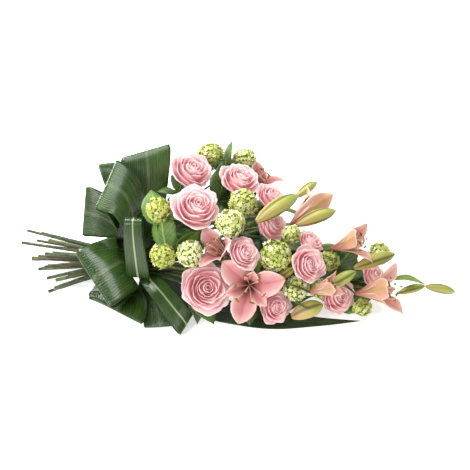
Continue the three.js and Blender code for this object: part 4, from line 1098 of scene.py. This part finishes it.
# A small leaf's outline: shares of its length, and there the share of which of its kind's widths
LEAF_OUTLINE = [(0, 0, 1), (0.1, 1, 0.66), (0.3, 1, 0.98), (0.5, 1, 1.04), (0.68, 2, 0.92), (0.86, 2, 0.45)]
LEAF_TIP = 0.005
FINE_LEAF = Sizes(rows=25, columns=9, thickness=0.6, tooth=0.045, notch=0.02)


def small_leaf(shape, kind, leaf, draw):
    """A leaf with a crease along its midrib, a waved blade and, apart from lily leaves, a toothed edge."""
    widths, crease = KINDS[kind][4:]
    root, tip, bow, side = leaf
    length = size(tip - root)
    lift = np.cross(side, (tip - root) / length)
    if np.dot(lift, bow) < 0:
        lift = -lift
    t = np.linspace(-1, 1, FINE_LEAF.columns)
    steps = np.linspace(0, 1, FINE_LEAF.rows)
    knots = [at for at, _, _ in LEAF_OUTLINE] + [1]
    profile = [widths[which] * share for _, which, share in LEAF_OUTLINE] + [LEAF_TIP]
    phase = draw.uniform(0, ANY_TURN)
    grid = []
    for k, s in enumerate(steps):
        wide = np.interp(s, knots, profile) * length
        if kind != "lily" and 0 < s < 1:
            wide *= 1 + (FINE_LEAF.tooth if k % 2 else -FINE_LEAF.notch)
        centre = root + (tip - root) * s + bow * 4 * s * (1 - s)
        fall = -crease * wide * np.abs(t) ** 1.3
        ripple = 0.012 * length * t ** 2 * sin(9 * s + phase)
        grid.append(moved(centre, (t * wide / 2, side), (fall + ripple, lift)))
    shape.sheet(np.array(grid), grid_uv(steps, (t + 1) / 2), FINE_LEAF.thickness, draw.uniform(0, 1))


CANE = Sizes(fuller=0.45, sharp=80, cut=8, faces_back=-0.8, rounds=2)
TWO_LEAVES = 15


def cane(name, made, dropped, kept, materials):
    """The rest of the node as a rounded stem with square cut ends, and leaves that grew together."""
    for face in made.faces:
        face.material_index = int(all(v.index in kept for v in face.verts))
    bmesh.ops.delete(made, geom=[made.verts[k] for k in dropped], context="VERTS")
    bmesh.ops.delete(made, geom=[v for v in made.verts if not v.link_faces], context="VERTS")
    bmesh.ops.holes_fill(made, edges=[e for e in made.edges if e.is_boundary], sides=0)
    bmesh.ops.join_triangles(
        made, faces=made.faces, cmp_materials=True, angle_face_threshold=0.9, angle_shape_threshold=3.0
    )
    bmesh.ops.recalc_face_normals(made, faces=made.faces)
    made.normal_update()
    cut_at = min(v.co.x for v in made.verts) + CANE.cut / 1000
    for face in made.faces:
        if face.normal.x < CANE.faces_back and face.calc_center_median().x < cut_at:
            face.material_index = materials.index(CUT_FACE)
    for v in made.verts:
        v.co += v.normal * CANE.fuller / 1000
    crease = made.edges.layers.float.new("crease_edge")
    for edge in made.edges:
        if len(edge.link_faces) == 2 and edge.calc_face_angle() > radians(CANE.sharp):
            edge[crease] = 1.0
    mesh = bpy.data.meshes.new(f"{name}_cane")
    made.to_mesh(mesh)
    made.free()
    piece = dressed(mesh, materials)
    rounded = piece.modifiers.new("round", "SUBSURF")
    rounded.levels = rounded.render_levels = CANE.rounds
    return piece


def stem_with_leaves(name, kind, group, draw):
    _, slot, cane_finish, leaf_finish, widths, _ = KINDS[kind]
    made = merged_mesh(name)
    points, mates, groups = leaf_groups(made)
    shape = Shape()
    dropped, kept = set(), set()
    for leaf_corners in groups:
        leaf = read_leaf(widths, points, mates, leaf_corners)
        if leaf is not None:
            dropped.update(leaf_corners)
            small_leaf(shape, kind, leaf, draw)
        elif len(leaf_corners) > TWO_LEAVES:
            kept.update(leaf_corners)
    for head in group:
        offset = points - head.centre
        number = [h for h in group if h.kind == head.kind].index(head) + 1
        own = Shape()
        inside = []
        if head.kind == "snowball":
            inside = np.linalg.norm(offset, axis=1) < head.r * 1.03
            snowball(own, head, draw)
            show(own.build(f"{name}_head_{number}", [FLORET, HEAD_CORE]), name)
        if head.kind == "bud":
            depth = offset @ head.axis
            aside = np.linalg.norm(offset - depth[:, None] * head.axis, axis=1)
            inside = (np.abs(depth) < head.h + 0.5) & (aside < head.r * 1.05)
            lily_bud(own, head, draw)
            show(own.build(f"{name}_bud_{number}", [LILY_BUD]), name)
        if head.kind == "bloom":
            sepals(shape, head, draw, 1)
        dropped.update(np.flatnonzero(inside).tolist())
    if shape.count:
        show(shape.build(f"{name}_leaves", [leaf_finish, SEPAL]), name)
    show(cane(name, made, dropped, kept, [cane_finish, leaf_finish, CUT_FACE]), name)


def binding():
    """Twine wound side by side round the stems, in one long round."""
    shape = Shape()
    turns = TIE.wraps * 2
    radius = TIE.depth / 2
    t = np.linspace(0, turns * 2 * pi, turns * 48 + 1)
    start = -TIE.wraps * TIE.cord / 2 + radius
    pitch = (TIE.wraps * TIE.cord - 2 * radius) / t[-1]
    reach = TIE.inner + radius
    line = np.stack([start + pitch * t, reach * np.cos(t), BINDING[2] + reach * np.sin(t)], -1)
    shape.tube(line, np.full(len(line), radius * 0.98), 10, wished=ALONG)
    show(shape.build("binding_twine", [TWINE]), "binding")


# The pieces, in the source's order, after the draws that the source takes for the stems' routes

numbers = seeded(SEED)
ROUTE_DRAWS = 3 * len(plants) + len(ROSES) + sum(len(spray) for spray in SPRAYS)
for _ in range(ROUTE_DRAWS):
    next(numbers)
for flower in (head for head in heads if head.kind == "flower"):
    flower.spin = next(numbers)

chance = random.Random(SEED)
counts = dict.fromkeys(KINDS, 0)
flower_count = 0
for kind, group in plants:
    counts[kind] += 1
    stem_with_leaves(f"{KINDS[kind][0]}_{counts[kind]:02d}", kind, group, chance)
    for head in group:
        if head.kind == "bloom":
            rose_bloom(f"rose_bloom_{counts[kind]:02d}", head, chance)
        if head.kind == "flower":
            flower_count += 1
            lily_flower(f"lily_flower_{flower_count:02d}", head, chance)
for name, values in FOLDED.items():
    folded_leaf(chance, f"folded_leaf_{name}", *values)
for k, values in enumerate(BASE_LEAVES):
    base_leaf(chance, f"base_leaf_{k + 1:02d}", *values)
binding()

# Camera, floor and light

CAMERA = Sizes(at=(397.5, -1883.2, 1446.6), azimuth=6.5, elevation=35.0, lens=100.0)
FLOOR = Sizes(half=30.0, drop=0.0002, glow=0.55, grain=3.0)
WHITE = (1, 1, 1, 1)

# Area lights: place, aim, size, power
LIGHTS = {
    "overhead": ((-0.05, 0.25, 1.7), (-0.1, 0.1, 0.1), 1.1, 27),
    "front": ((-1.3, -2.2, 1.6), (0, 0, 0.1), 1.0, 58),
    "left": ((-1.5, 0.9, 1.3), (-0.3, 0, 0.1), 0.5, 50),
}
SKY = 0.38

turn, rise = radians(CAMERA.azimuth), radians(CAMERA.elevation)
back = Vector((sin(turn) * cos(rise), -cos(turn) * cos(rise), sin(rise)))
camera = placed("camera", bpy.data.cameras.new("camera"))
camera.data.lens = CAMERA.lens
camera.location = metres(CAMERA.at)
camera.rotation_euler = back.to_track_quat("Z", "Y").to_euler()
bpy.context.scene.camera = camera

pale = Finish(
    "floor", Roughness=0.95, Specular_IOR_Level=0.1, Emission_Strength=FLOOR.glow, Emission_Color=WHITE
)
grain = pale.noise(pale.place(), FLOOR.grain)
corners = [(x * FLOOR.half, y * FLOOR.half, 0) for x, y in ((-1, -1), (1, -1), (1, 1), (-1, 1))]
floor_mesh = bpy.data.meshes.new("floor")
floor_mesh.from_pydata(corners, [], [(0, 1, 2, 3)])
floor_mesh.materials.append(pale.finish(pale.ramp(grain, {0: "#f6f6f5", 1: "#fafaf9"})))
floor = placed("floor", floor_mesh)
floor.location.z = -FLOOR.drop

for name, (at, aim, size, power) in LIGHTS.items():
    light = bpy.data.lights.new(name, "AREA")
    light.shape, light.size, light.energy = "SQUARE", size, power
    lamp = placed(name, light)
    lamp.location = at
    lamp.rotation_euler = (Vector(at) - Vector(aim)).to_track_quat("Z", "Y").to_euler()

world = bpy.data.worlds.new("studio")
bpy.context.scene.world = world
world.use_nodes = True
world.node_tree.nodes["Background"].inputs["Color"].default_value = WHITE
world.node_tree.nodes["Background"].inputs["Strength"].default_value = SKY
bpy.context.scene.view_settings.view_transform = "Standard"
